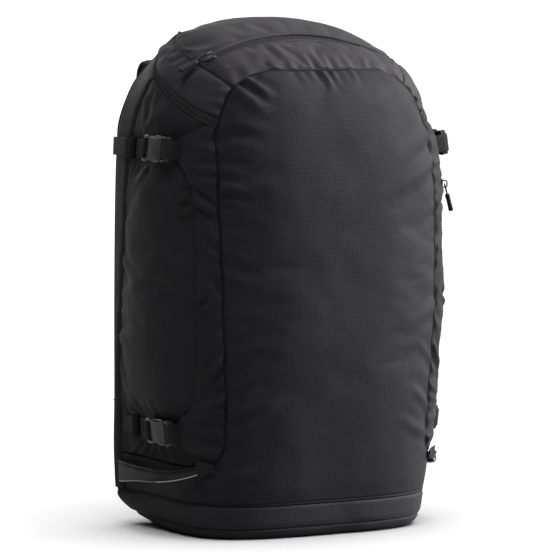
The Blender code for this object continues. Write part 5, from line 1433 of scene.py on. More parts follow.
def lid_top():
    a_s, b_s = knots(0.24, 0.0034), knots(0.075, 0.0030)
    a = (2 * a_s - 1)[None, :]
    b = b_s[:, None]
    lo = lambda x: np.stack([arch_top(x * 0.3775) + 0.0012, x * 0.3775], -1)
    hi = lambda x: np.stack([zip_line(x * T_END) - zip_slot(x * T_END), x * T_END], -1)
    t_side = 0.3775 + (T_END - 0.3775) * b
    right = np.stack([top_v(t_side) + 0.0010, t_side], -1)
    left = np.stack([top_v(t_side) + 0.0010, -t_side], -1)
    al = (a + 1) / 2
    al3, b3 = al[..., None], b[..., None]
    vt = ((1 - b3) * lo(a) + b3 * hi(a) + (1 - al3) * left + al3 * right
          - ((1 - al3) * (1 - b3) * left[:1] + al3 * (1 - b3) * right[:1] + (1 - al3) * b3 * left[-1:] + al3 * b3 * right[-1:]))
    pt = Patch(vt[..., 0], vt[..., 1])
    e = np.minimum(np.minimum(pt.left, pt.right), np.minimum(pt.low, pt.high))
    along = pt.t * half_u(pt.v)
    pt.d += 0.0010 * step01(e / 0.012) + creases(pt, TOP_FOLDS, 0.75) * step01(e / 0.002)
    pt.d += 0.0009 * np.sin(along / 0.0049 + 1.7 * np.sin(along / 0.017)) * np.exp(-pt.low / 0.010) * step01(pt.low / 0.002)
    pt.d += seam_noise(pt, 0.028, 0.0007, 21) * step01(e / 0.006)
    relax(pt, b_s, a_s, 0.0048, 1.3, 0.010, 0.0034, 0.0018)
    pt.d += roll(pt.low, 0.0020, 0.0026) + roll(np.minimum(pt.left, pt.right), 0.0018, 0.0024) + roll(pt.high, 0.0013, 0.0016)
    pt.d += 0.0006 * np.exp(-((pt.high - 0.0026) / 0.0022) ** 2)
    ob = cloth_object("lid_top_front", pt, 0.0022, M["twill"])
    settle(ob, "lid", ["top_front_panel"])
    p, n = line_at(pt, "high", 0.0040)
    stitch_line(p, n, "lid")

    b_s = knots(0.16, 0.0034)
    b = b_s
    side_t = np.clip(T_END + (T_REAR - GAP_T - T_END) * b / 0.5, 0, T_REAR - GAP_T)
    side_v = np.where(b < 0.5, top_v(side_t) + 0.0012, 0.9985 + (b - 0.5) / 0.5 * (1.094 - 0.9985))
    side_v = np.where(b < 0.5, side_v, np.maximum(side_v, top_v(side_t) + 0.0012))
    z0 = float(zip_line(0.0) + zip_slot(0.0))
    mid_v = z0 + (1.094 - z0) * b
    curve = np.abs(a[0]) ** 2.4
    vv = mid_v[:, None] + (side_v - mid_v)[:, None] * curve[None, :]
    tt = a * side_t[:, None]
    first = zip_line(tt[0]) + zip_slot(tt[0])
    vv = vv + (first - vv[0])[None, :] * np.clip(1 - b / 0.4, 0, 1)[:, None] ** 2
    pt = Patch(vv, tt)
    # the surface pinches together at the two back corners, so the normals there are taken from its middle
    ray = pt.p - np.array((0.0, 0.0, 0.33))
    ray /= np.linalg.norm(ray, axis=2, keepdims=True)
    pt.n = np.where(np.sum(pt.n * ray, axis=2, keepdims=True) < 0.5, ray, pt.n)
    e = np.minimum(np.minimum(pt.left, pt.right), np.minimum(pt.low, pt.high))
    pt.d += 0.0010 * step01(e / 0.012) + seam_noise(pt, 0.034, 0.0008, 23) * step01(e / 0.008)
    relax(pt, b_s, a_s, 0.0052, 1.3, 0.010, 0.0040, 0.0020)
    back = surf(np.array([0.9985]), np.array([T_REAR - GAP_T]), np.zeros(1))[0]
    calm = 1 - step01((np.linalg.norm(pt.p - np.where(pt.p[..., :1] < 0, back * np.array([-1.0, 1, 1]), back), axis=2) - 0.008) / 0.022)
    pull = turned(top_pull_line(), np.full(12, -2 * ZIP_REST_DEG))
    gap = np.min(np.linalg.norm(pt.p[..., None, :] - pull, axis=3), axis=2)
    calm = np.maximum(calm, 1 - step01((gap - 0.010) / 0.016))
    pt.d = pt.d * (1 - calm) - 0.0012 * calm
    pt.move = pt.move * (1 - calm)[..., None]
    pt.d += roll(pt.high, 0.0014, 0.0022) + roll(np.minimum(pt.left, pt.right), 0.0018, 0.0024) + roll(pt.low, 0.0013, 0.0016)
    pt.d += 0.0006 * np.exp(-((pt.low - 0.0026) / 0.0022) ** 2)
    ob = cloth_object("lid_top_rear", pt, 0.0022, M["twill"])
    settle(ob, "lid", ["top_rear_panel"])
    p, n = line_at(pt, "low", 0.0040)
    stitch_line(p, n, "lid")

    for side, sg in SIDES:
        level, share = knots(0.055, 0.0030), knots(0.185, 0.0034)
        v_low = V_SPLIT + V_TAPE + GAP_V
        t_high = (0.3775 + GAP_T) * (1 - share) + (T_REAR - GAP_T) * share
        v_high = top_v(t_high) - 0.0012
        vv = v_low + (v_high[None, :] - v_low) * level[:, None]
        front = arch_t(np.clip(vv, 0.77, 0.856)) + GAP_T
        tt = front * (1 - share) + (T_REAR - GAP_T) * share
        pt = side_patch(vv, tt, sg)
        e = np.minimum(np.minimum(pt.left, pt.right), np.minimum(pt.low, pt.high))
        folds = GUSSET_FOLDS if sg > 0 else mirrored(GUSSET_FOLDS)
        pt.d += 0.0010 * step01(e / 0.012) + creases(pt, folds, 1.7) * step01(e / 0.002) + seam_noise(pt, 0.030, 0.0008, 27 + sg) * step01(e / 0.007)
        relax(pt, level, flip(share, sg), 0.0046, 1.3, 0.012, 0.0036, 0.0020)
        pt.d += roll(pt.inner, 0.0019, 0.0026) + roll(pt.rear, 0.0018, 0.0024) + roll(pt.low, 0.0018, 0.0022) + roll(pt.high, 0.0018, 0.0024)
        ob = cloth_object(side + "_gusset_cloth", pt, 0.0022, M["twill"])
        settle(ob, "lid", [side + "_top_gusset"])
        p, n = line_at(pt, "low", 0.0036)
        stitch_line(p, n, "lid")
        # piping in the seam between the lid's top and its side
        tp = np.linspace(0.379, T_REAR, 120)
        ob = cord_object(side + "_top_piping", even_path(surf(top_v(tp), sg * tp, np.full(len(tp), -0.0012)), 0.0022), 0.0011, M["pipe"])
        settle(ob, "lid")

    ts = np.linspace(1.006, 3.0 - 1.006, 76)
    vs = np.concatenate([V_SPLIT + V_TAPE + GAP_V + np.array([0.0, 0.0006, 0.0014, 0.003, 0.006]), np.linspace(0.795, 1.05, 14), [1.075, 1.085]])
    pt = Patch(vs[:, None], ts[None, :])
    e = np.minimum(np.minimum(pt.left, pt.right), np.minimum(pt.low, pt.high))
    pt.d += 0.0008 * step01(e / 0.008) + seam_noise(pt, 0.03, 0.0006, 31) * step01(e / 0.006) + roll(pt.low, 0.0014, 0.0020) + roll(np.minimum(pt.left, pt.right), 0.0014, 0.0020)
    ob = cloth_object("lid_back_cloth", pt, 0.0022, M["twill"])
    settle(ob, "lid", ["lid_back_wall"])
    p, n = line_at(pt, "low", 0.0036)
    stitch_line(p, n, "lid")


lid_top()


def top_zip():
    degs = np.linspace(-ZIP_HALF_DEG - 0.5, ZIP_HALF_DEG + 0.5, 640)
    u = np.array([-0.0066, -0.0060, -0.0050, -0.0040, -0.0031, -0.0027, -0.0022, -0.0017, -0.0011, -0.0006, -0.0002,
                  0.0002, 0.0006, 0.0011, 0.0017, 0.0022, 0.0027, 0.0031, 0.0040, 0.0050, 0.0060, 0.0066])
    run = np.radians(degs)[None, :] * ZIP_RADIUS
    q = np.abs(u)[:, None]
    phase = np.where(u > 0, 0.0, math.pi)[:, None]
    teeth = 0.5 + 0.5 * np.cos(2 * math.pi * run / 0.0019 + phase)
    h = -0.0012 + 0.0016 * np.exp(-((q - 0.0014) / 0.0009) ** 2) * (0.3 + 0.7 * teeth) + 0.0003 * (0.5 + 0.5 * np.cos(2 * math.pi * run / 0.0021)) * step01((q - 0.0030) / 0.001)
    base_p = np.array(ZIP_APEX) + ZIP_W * u[:, None, None] + ZIP_N * h[..., None]
    low_p = np.array(ZIP_APEX) + ZIP_W * u[:, None, None] + ZIP_N * (h[..., None] * 0 - 0.0024)
    dg = np.broadcast_to(degs[None, :], h.shape)
    top_p, low_p = turned(base_p, dg), turned(np.broadcast_to(low_p, base_p.shape), dg)
    nr, nc = h.shape
    quads = grid_quads(nr, nc)
    n = nr * nc
    a, b = quads.ravel(), np.roll(quads, -1, axis=1).ravel()
    rim = ~np.isin(a * n + b, b * n + a)
    side = np.stack([b[rim], a[rim], a[rim] + n, b[rim] + n], 1)
    verts = np.concatenate([top_p.reshape(-1, 3), low_p.reshape(-1, 3)])
    faces = np.concatenate([quads, quads[:, ::-1] + n, side])
    lists = outward(verts, [tuple(f) for f in faces.tolist()])
    w = np.stack([np.broadcast_to(run, h.shape), np.broadcast_to(u[:, None], h.shape)], -1).reshape(-1, 2)
    ob = mesh_object("top_zip", verts, lists, M["tape"], np.concatenate([w, w]), 70)
    settle(ob, "lid", ["top_zip_tape"])


top_zip()


# ---------------------------------------------------------------- inside
def lining():
    ring = np.linspace(-1.5, 1.5, 261)[:-1]
    vs = np.concatenate([np.linspace(0.030, 0.74, 60), [0.748, 0.754, 0.758]])
    pt = Patch(vs[:, None], ring[None, :])
    pt.d += -0.0084 + seam_noise(pt, 0.05, 0.0008, 41) + 0.0030 * step01((pt.v - 0.73) / 0.028)
    quads = grid_quads(*pt.v.shape, 0, True)
    skin = pt.points().reshape(-1, 3)
    verts, quads = thicken(skin, quads, pt.n.reshape(-1, 3), 0.0005)
    w = pt.weave().reshape(-1, 2)
    ob = mesh_object("bag_lining", verts, quads, M["lining"], np.concatenate([w, w]), 60)
    settle(ob, "bag")
    rim = surf(np.full(len(ring), 0.035), ring, np.full(len(ring), -0.0084))
    rim[:, 2] = 0.0150
    shares = np.linspace(1.0, 0.04, 36)
    mid = np.array((0.0, 0.0, 0.0150))
    grid = mid + (rim - mid)[None] * shares[:, None, None]
    grid[..., 2] += 0.0015 * noise(grid, 0.05, 43) * step01((1 - shares) / 0.2)[:, None]
    nr, nc = grid.shape[:2]
    verts = np.concatenate([grid.reshape(-1, 3), [[0, 0, grid[-1, :, 2].mean()]]])
    n = len(verts)
    faces = [tuple(q) for q in grid_quads(nr, nc, 0, True).tolist()] + [((nr - 1) * nc + j, (nr - 1) * nc + (j + 1) % nc, n - 1) for j in range(nc)]
    back = [tuple(k + n for k in reversed(f)) for f in faces]
    wall = [((j + 1) % nc, j, j + n, (j + 1) % nc + n) for j in range(nc)]
    verts = np.concatenate([verts, verts - np.array((0, 0, 0.0008))])
    ob = mesh_object("bag_floor_lining", verts, outward(verts, faces + back + wall), M["lining"], verts[:, :2], 60)
    settle(ob, "bag")
    # lid lining: its wall and its top
    vs = np.concatenate([[0.782, 0.786, 0.792], np.linspace(0.80, 1.055, 40), [1.062, 1.070, 1.078, 1.085, 1.090]])
    pt = Patch(vs[:, None], ring[None, :])
    ray = pt.p - np.array((0.0, 0.0, 0.42))
    ray /= np.linalg.norm(ray, axis=2, keepdims=True)
    pt.n = np.where(np.sum(pt.n * ray, axis=2, keepdims=True) < 0.40, ray, pt.n)
    pt.d += -0.0062 + seam_noise(pt, 0.05, 0.0006, 45) + 0.0016 * step01((0.80 - pt.v) / 0.018)
    top = pt.points()
    # the lining cuts the rear corners, where the shell folds sharply
    corner = np.exp(-((np.abs(pt.t) - 1.0) / 0.13) ** 2) * step01((pt.v - 0.84) / 0.10)
    top = top + (np.array((0.0, 0.0, 0.490)) - top) * (0.05 * corner)[..., None]
    skin = top.reshape(-1, 3)
    quads = grid_quads(*pt.v.shape, 0, True)
    verts, quads = thicken(skin, quads, pt.n.reshape(-1, 3), 0.0005)
    w = pt.weave().reshape(-1, 2)
    ob = mesh_object("lid_lining", verts, quads, M["lining"], np.concatenate([w, w]), 60)
    settle(ob, "lid")
    # bound edges of the linings at the zip
    tt = np.linspace(0.4185, 3.0 - 0.4185, 420)
    for name, v, d, body in (("bag_lining_binding", V_SPLIT - V_TAPE - 0.0006, -0.0044, "bag"), ("lid_lining_binding", V_SPLIT + V_TAPE + 0.0006, -0.0040, "lid")):
        ob = cord_object(name, even_path(surf(np.full(len(tt), v), tt, np.full(len(tt), d)), 0.0024), 0.0016, M["pipe"])
        settle(ob, body)


lining()


# ---------------------------------------------------------------- back and pads
def pad_share(v, t, v0, v1, wv, t0, t1, wt):
    a = np.clip(np.minimum(v - v0, v1 - v) / wv, 0, 1)
    b = np.clip(np.minimum(np.abs(t) - t0, (t1 - np.abs(t)) if t1 < 1.5 else 9.0) / wt, 0, 1)
    return np.sqrt(np.clip(1 - (1 - a) ** 2, 0, 1)) * np.sqrt(np.clip(1 - (1 - b) ** 2, 0, 1))


def fold_t(t):
    return np.where(t > 1.5, 3.0 - t, np.abs(t))


def cushion(name, pt, rows, cols, base_off, mat, cap, pressure, channels, node, edge=0.0022):
    """Padded panel standing on the back: swollen by the cloth pass, then sewn channels and a rolled rim."""
    relax(pt, rows, cols, 0.0048, pressure, 0.015, cap, 0.003)
    e = np.minimum(np.minimum(pt.left, pt.right), np.minimum(pt.low, pt.high))
    for kind, at, depth, width in channels:
        x = pt.p[..., 2] if kind == "z" else pt.p[..., 0]
        pt.d -= depth * np.exp(-((x - at) / width) ** 2) * step01((e - 0.004) / 0.010)
    pt.d += roll(e, edge, edge * 1.4)
    reach = np.sum((pt.points() - pt.p) * pt.n, axis=2)
    verts, quads, normals, _ = skin_of([pt])
    verts, quads = thicken(verts, quads, normals, np.maximum(0.0012, reach - base_off).ravel())
    w = np.stack([pt.p[..., 0], pt.p[..., 2]], -1).reshape(-1, 2)
    ob = mesh_object(name, verts, quads, mat, np.concatenate([w, w]), 70)
    settle(ob, "bag", [node])
    p = pt.p + pt.n * (base_off + 0.0014)
    loop = np.concatenate([p[0], p[1:, -1], p[-1, ::-1][1:], p[::-1, 0][1:-1]])
    loop = even_path(np.concatenate([loop, loop[:1]]), 0.003)[:-1]
    rim = cord_object(name + "_piping", loop, 0.0018, M["pipe"], 8, True)
    settle(rim, "bag")
    return pt


def back():
    v0, v1 = V_BASE + GAP_V, 0.7500
    vs, rows = rows_between(v0, v1, 0.0034)
    width = 0.30
    cols = knots(width, 0.0034)
    ts = 1.0065 + (3.0 - 2 * 1.0065) * cols
    pt = Patch(vs[:, None], ts[None, :])
    at = fold_t(pt.t)
    e = np.minimum(np.minimum(pt.left, pt.right), np.minimum(pt.low, pt.high))
    share = pad_share(pt.v, at, v0, v1, 0.03, 1.0065, 1.5, 0.06)
    x, z = pt.p[..., 0], pt.p[..., 2]
    pt.d += PAD_EDGE + (PAD_FULL - 0.0004 - PAD_EDGE) * share
    pt.d -= 0.0030 * np.exp(-(x / 0.009) ** 2) * step01(e / 0.03)
    for zc in (0.155, 0.435, 0.478):
        pt.d -= 0.0026 * np.exp(-((z - zc) / 0.0030) ** 2) * step01((e - 0.006) / 0.012)
    pt.d += seam_noise(pt, 0.04, 0.0005, 51) * share * np.where(z > 0.43, 1.0, 0.2)
    pt.d += roll(e, 0.0020, 0.0030)
    reach = pt.d + 0.0024
    verts, quads, normals, _ = skin_of([pt])
    verts, quads = thicken(verts, quads, normals, reach.ravel())
    w = np.stack([x, z], -1).reshape(-1, 2)
    ob = mesh_object("back_pad_panel", verts, quads, M["mesh"], np.concatenate([w, w]), 70)
    settle(ob, "bag", ["back_panel"])
    for edge in ("left", "right", "low", "high"):
        a, n = line_at(pt, edge, 0.0050)
        stitch_line(a, n, "bag")
    tt = np.linspace(1.002, 3.0 - 1.002, 200)
    ob = cord_object("back_top_piping", even_path(surf(np.full(len(tt), 0.7525), tt, np.full(len(tt), 0.0006)), 0.0024), 0.0017, M["pipe"])
    settle(ob, "bag")
    for side, sg in SIDES:
        vs, rows = rows_between(0.262, 0.628, 0.0030)
        cols = knots(0.107, 0.0030)
        t = 1.110 + (1.452 - 1.110) * cols
        pt = side_patch(vs[:, None], t[None, :], sg)
        lift = pad_share(pt.v, np.abs(pt.t), 0.262, 0.628, 0.05, 1.110, 1.452, 0.08)
        pt.d += PAD_FULL + 0.0022 + 0.0070 * lift
        cushion(side + "_back_cushion", pt, rows, flip(cols, sg), PAD_FULL + 0.0007, M["mesh"], 0.0042, 3.0,
                [("z", 0.235, 0.0060, 0.0036), ("z", 0.325, 0.0060, 0.0036)], side + "_back_pad")
    vs, rows = rows_between(0.098, 0.222, 0.0030)
    cols = knots(0.26, 0.0032)
    t = 1.040 + (3.0 - 2 * 1.040) * cols
    pt = Patch(vs[:, None], t[None, :])
    lift = pad_share(pt.v, fold_t(pt.t), 0.098, 0.222, 0.055, 1.040, 1.5, 0.10)
    pt.d += PAD_FULL + 0.0026 + 0.0178 * lift
    cushion("lumbar_cushion", pt, rows, cols, PAD_FULL + 0.0007, M["pad"], 0.0045, 3.0,
            [("x", 0.0, 0.0090, 0.0050), ("x", -0.068, 0.0050, 0.0036), ("x", 0.068, 0.0050, 0.0036)], "lumbar_pad", 0.0030)


back()


# ---------------------------------------------------------------- shoulder straps
def subdivided(name, verts, faces, mat, weave, levels=1, sharp=None):
    ob = mesh_object(name + "_cage", verts, faces, mat, weave)
    mod = ob.modifiers.new("s", "SUBSURF")
    mod.levels = mod.render_levels = levels
    dg = bpy.context.evaluated_depsgraph_get()
    me = bpy.data.meshes.new_from_object(ob.evaluated_get(dg))
    me.name = name
    bpy.data.objects.remove(ob, do_unlink=True)
    me.polygons.foreach_set("use_smooth", np.ones(len(me.polygons), bool))
    if sharp:
        me.set_sharp_from_angle(angle=math.radians(sharp))
    new = bpy.data.objects.new(name, me)
    bpy.context.scene.collection.objects.link(new)
    return new


def web_piece(name, path, wide_hint, half_w, mat, body, nodes=(), thick=0.0013, n=None):
    """Webbing along a path: rounded flat section."""
    path = np.asarray(path, float)
    if n:
        path = smooth_path(path, n)
    wide, th = frames(path, wide_hint)
    v, f, w = sweep(path, wide, th, half_w, thick / 2, superellipse(18, 5.0))
    ob = mesh_object(name, v, f, mat, w, 60)
    settle(ob, body, nodes)
    return ob


def shoulder_strap(side, sg):
    keys = [(sg * 0.085, 0.1030, 0.497), (sg * 0.085, 0.1085, 0.5105), (sg * 0.0848, 0.1195, 0.5140), (sg * 0.0842, 0.1320, 0.5060),
            (sg * 0.083, 0.1390, 0.483), (sg * 0.081, 0.1430, 0.440), (sg * 0.084, 0.1440, 0.370), (sg * 0.097, 0.1410, 0.290), (sg * 0.112, 0.1340, 0.222)]
    n, m = 100, 28
    path = smooth_path(keys, n)
    wide, thick = frames(path, (1, 0, 0))
    share = np.linspace(0, 1, n)
    hw = STRAP_PAD_W / 2 * (1 - 0.28 * np.clip((share - 0.7) / 0.3, 0, 1) ** 2) * np.sqrt(np.clip(1 - np.clip((share - 0.965) / 0.05, 0, 1) ** 2, 0.05, 1))
    ht = STRAP_PAD_T / 2 * (0.62 + 0.38 * np.clip(share / 0.2, 0, 1) - 0.30 * np.clip((share - 0.9) / 0.1, 0, 1))
    sec = superellipse(m, 2.7)
    verts, faces, weave = sweep(path, wide, thick, hw, ht * 0.92, sec)
    pin = [i * m + j for i in range(n) for j in range(m) if abs(sec[j, 0]) > 0.93 or i < 3 or i > n - 4]
    got = simulate(verts, faces, pin, 3.0, 0.012, 16, 0.5, 14.0)
    delta = got - verts
    ln = np.linalg.norm(delta, axis=1, keepdims=True)
    verts = verts + delta * np.minimum(1, 0.0024 / (ln + 1e-9))
    grid = verts.reshape(n, m, 3)
    # sewn lines beside both edges
    out = grid - path[:, None]
    across = np.abs(np.sum(out * wide[:, None], axis=2)) / hw[:, None]
    grid = grid - out * (0.16 * np.exp(-((across - 0.74) / 0.06) ** 2))[..., None]
    bump = 0.0004 * noise(grid, 0.012, 61 + sg)
    grid = grid + np.sign(sec[None, :, 1:]) * thick[:, None] * bump[..., None]
    ob = subdivided(side + "_shoulder_pad", grid.reshape(-1, 3), faces, M["pad"], weave, 1)
    settle(ob, "bag", [side + "_shoulder_strap"])
    j0, j1 = int(np.argmin(np.abs(sec[:, 0] - 1) + np.abs(sec[:, 1]))), int(np.argmin(np.abs(sec[:, 0] + 1) + np.abs(sec[:, 1])))
    for k, j in enumerate((j0, j1)):
        rim = cord_object("%s_strap_edge_%d" % (side, k), even_path(grid[2:-1, j], 0.003), 0.0016, M["pipe"])
        settle(rim, "bag")
    up = np.array([np.argmax(sec[:, 1] - 3 * np.abs(sec[:, 0]))])[0]
    dn = np.array([np.argmin(sec[:, 1] + 3 * np.abs(sec[:, 0]))])[0]
    face = up if np.mean(grid[40:, up, 1]) > np.mean(grid[40:, dn, 1]) else dn
    nrm = thick * np.sign(np.mean(np.sum((grid[:, face] - path) * thick, axis=1)))
    line = grid[8:n - 2, face] + nrm[8:n - 2] * 0.0004
    wd = wide[8:n - 2]
    v, f, w = sweep(line, wd, np.cross(np.gradient(line, axis=0) / np.linalg.norm(np.gradient(line, axis=0), axis=1, keepdims=True), wd), 0.0100, 0.0009, superellipse(18, 5.0))
    web = mesh_object(side + "_strap_face_webbing", v, f, M["webbing"], w, 60)
    settle(web, "bag")
    for s2 in (-1, 1):
        stitch_line(line + wd * 0.0082 * s2 + nrm[8:n - 2] * 0.0010, nrm[8:n - 2], "bag")
    # sewn bar tacks across the webbing
    for at in (12, 34, 56, 78):
        a = line[at] - wd[at] * 0.0085 + nrm[at + 8] * 0.0010
        b = line[at] + wd[at] * 0.0085 + nrm[at + 8] * 0.0010
        for k in range(3):
            off = (line[min(at + 1, len(line) - 1)] - line[at]) * (0.45 * k)
            q = np.linspace(0, 1, 8)[:, None]
            stitch_line(a + off + (b - a) * q, np.tile(nrm[at + 8], (8, 1)), "bag", pitch=0.0017, length=0.0019)

    # adjuster and lower webbing
    end = np.array((sg * 0.1148, 0.1316, 0.2085))
    aim = np.array((sg * 0.0235, -0.0235, -0.080))
    aim /= np.linalg.norm(aim)
    wide_d = np.array((1.0, 0, 0)) - aim * aim[0]
    wide_d /= np.linalg.norm(wide_d)
    face_d = np.cross(aim, wide_d)
    if face_d[1] < 0:
        wide_d = -wide_d
        face_d = -face_d
    hole = 0.0108
    slot = lambda a, b: rounded([(a, -hole), (b, -hole), (b, hole), (a, hole)], 0.0010, 3)
    out_loop = rounded([(-0.0020, -0.0155), (0.0210, -0.0148), (0.0225, -0.0130), (0.0225, 0.0130), (0.0210, 0.0148), (-0.0020, 0.0155)], 0.0028, 4)
    bits = [plate([out_loop, slot(0.0015, 0.0065), slot(0.0125, 0.0175)], -0.0020, 0.0020, 0.0008)]
    bits.append(plate([rounded([(0.0066, -0.0135), (0.0124, -0.0135), (0.0124, 0.0135), (0.0066, 0.0135)], 0.0015, 4)], 0.0012, 0.0031, 0.0007))
    bits.append(plate([rounded([(0.0178, -0.0125), (0.0224, -0.0125), (0.0224, 0.0125), (0.0178, 0.0125)], 0.0015, 4)], 0.0012, 0.0027, 0.0006))
    v, f = merged(bits)
    v = placed(v, end, aim, wide_d, face_d)
    ob = mesh_object(side + "_adjuster", v, outward(v, f), M["buckle"], None, 40)
    settle(ob, "bag", [side + "_ladder_lock"])
    at = lambda s, q: end + aim * s + face_d * q
    web_piece(side + "_adjuster_loop", [at(-0.020, 0.0040), at(-0.008, 0.0038), at(0.0016, 0.0032), at(0.0038, 0.0012), at(0.0038, -0.0012), at(0.0016, -0.0034), at(-0.008, -0.0040), at(-0.020, -0.0040)],
              wide_d, 0.0098, M["webbing"], "bag", n=60)
    foot = np.array((sg * 0.1400, 0.1060, 0.1400))
    tail = np.array((0.0, 0.004, 0.0))
    web_piece(side + "_lower_webbing", [foot, foot * 0.7 + at(0.0235, -0.0036) * 0.3 + (0, 0.0010, 0), foot * 0.3 + at(0.0235, -0.0036) * 0.7 + (0, 0.0012, 0), at(0.0215, -0.0034), at(0.0168, -0.0030), at(0.0150, -0.0008),
                                      at(0.0142, 0.0016), at(0.0122, 0.0040), at(0.0095, 0.0044), at(0.0072, 0.0040), at(0.0050, 0.0016), at(0.0053, -0.0012), at(0.0080, -0.0032),
                                      at(0.0110, -0.0036), at(0.0152, -0.0062) , at(0.0260, -0.0060) - tail * 0.2, at(0.0420, -0.0050) - tail * 0.1, at(0.0600, -0.0042)],
              wide_d, 0.0098, M["webbing"], "bag", nodes=[side + "_strap_webbing"], n=190)
    # sewn tab where the webbing meets the side seam
    s_ax = aim * 0.4 + np.array((sg * 0.5, -0.15, -0.55))
    s_ax /= np.linalg.norm(s_ax)
    w_ax = np.cross((0, 1.0, 0), s_ax)
    w_ax /= np.linalg.norm(w_ax)
    n_ax = np.cross(s_ax, w_ax)
    n_ax = n_ax if n_ax[1] > 0 else -n_ax
    v, f = plate([rounded([(-0.010, -0.0110), (0.014, -0.0190), (0.014, 0.0190), (-0.010, 0.0110)], 0.003, 4)], -0.0034, 0.0014, 0.0010)
    v = placed(v, foot, s_ax, w_ax, n_ax)
    ob = mesh_object(side + "_webbing_tab", v, outward(v, f), M["side"], v[:, [0, 2]], 40)
    settle(ob, "bag")
    box = [(-0.006, -0.0085), (0.0105, -0.0140), (0.0105, 0.0140), (-0.006, 0.0085), (-0.006, -0.0085)]
    for a, b in zip(box[:-1], box[1:]):
        q = np.linspace(0, 1, 10)[:, None]
        line = np.array(a) + (np.array(b) - np.array(a)) * q
        stitch_line(foot + line[:, :1] * s_ax + line[:, 1:] * w_ax + n_ax * 0.0014, np.tile(n_ax, (10, 1)), "bag")


for side, sg in SIDES:
    shoulder_strap(side, sg)


def yoke():
    """Sewn strips that take the strap ends on the back."""
    for side, sg in SIDES:
        x0 = sg * 0.085
        v, f = plate([rounded([(-0.036, -0.011), (0.036, -0.011), (0.036, 0.011), (-0.036, 0.011)], 0.004, 5)], 0.0, 0.0030, 0.0011)
        p, n = point_normal(v_at_z(1.25, 0.4895), 1.25)
        org = np.array((x0, p[1] + PAD_FULL + 0.0006, 0.4895))
        v = placed(v, org, np.array((1.0, 0, 0)), np.array((0, 0, 1.0)), np.array((0, 1.0, 0)))
        ob = mesh_object(side + "_strap_anchor", v, outward(v, f), M["side"], v[:, [0, 2]], 40)
        settle(ob, "bag")
        # padded neck from the sewn strip up into the strap
        face = org[1] + 0.0018
        neck = [(x0, face, 0.4800), (x0, face + 0.0004, 0.4850), (x0, 0.5 * (face + 0.1024), 0.4912), (x0, 0.1026, 0.4972), (x0, 0.1056, 0.5040)]
        web_piece(side + "_strap_neck", neck, (1, 0, 0), STRAP_PAD_W / 2 - 0.0030, M["pad"], "bag", thick=0.0046, n=40)
        for dz in (-0.0075, 0.0075):
            xs = np.linspace(-0.032, 0.032, 24)
            line = np.stack([x0 + xs, np.full(24, org[1] + 0.0031), np.full(24, org[2] + dz)], 1)
            stitch_line(line, np.tile((0, 1.0, 0), (24, 1)), "bag")


yoke()


def grab_handle():
    at = np.array((0.0, 0.1010, 0.4560))
    q = np.linspace(0, 1, 61)
    path = np.stack([-0.046 + 0.092 * q, at[1] + 0.030 * np.sin(math.pi * q) ** 0.8, at[2] - 0.004 * np.sin(math.pi * q)], 1)
    wide, thick = frames(path, (0, 0, 1))
    s = np.sin(math.pi * q)
    v, f, w = sweep(path, wide, thick, 0.0040 + 0.0072 * s ** 0.6, 0.0013 + 0.0022 * step01((s - 0.35) / 0.5), superellipse(28, 2.6))
    ob = mesh_object("carry_handle", v, f, M["webbing"], w, 60)
    settle(ob, "grab_handle", ["grab_handle"])
    for k in (-1, 1):
        v, f = plate([rounded([(-0.016, -0.0095), (0.010, -0.0095), (0.010, 0.0095), (-0.016, 0.0095)], 0.003, 4)], -0.0016, 0.0006, 0.0006)
        p, n = point_normal(v_at_z(1.4, 0.456), 1.4)
        org = np.array((k * 0.052, p[1] + PAD_FULL + 0.0018, 0.456))
        v = placed(v, org, np.array((-k * 1.0, 0, 0)), np.array((0, 0, 1.0)), np.array((0, 1.0, 0)))
        ob = mesh_object("handle_tab_%s" % ("left" if k < 0 else "right"), v, outward(v, f), M["webbing"], v[:, [0, 2]], 40)
        settle(ob, "bag")
        # webbing that leaves the tab and goes into the handle's end
        face = org[1] + 0.0002
        root = [(k * 0.0600, face, 0.456), (k * 0.0540, face + 0.0004, 0.456), (k * 0.0496, 0.5 * (face + 0.1006) - 0.0002, 0.456), (k * 0.0468, 0.1006, 0.456), (k * 0.0458, 0.1024, 0.456)]
        web_piece("handle_root_%s" % ("left" if k < 0 else "right"), root, (0, 0, 1), 0.0050, M["webbing"], "bag", thick=0.0020, n=40)
        box = [(-0.0135, -0.0075), (0.0075, -0.0075), (0.0075, 0.0075), (-0.0135, 0.0075), (-0.0135, -0.0075), (0.0075, 0.0075)]
        for a, b in zip(box[:-1], box[1:]):
            qq = np.linspace(0, 1, 9)[:, None]
            line = np.array(a) + (np.array(b) - np.array(a)) * qq
            pts = np.stack([org[0] - k * line[:, 0], np.full(9, org[1] + 0.0007), org[2] + line[:, 1]], 1)
            stitch_line(pts, np.tile((0, 1.0, 0), (9, 1)), "bag")


grab_handle()


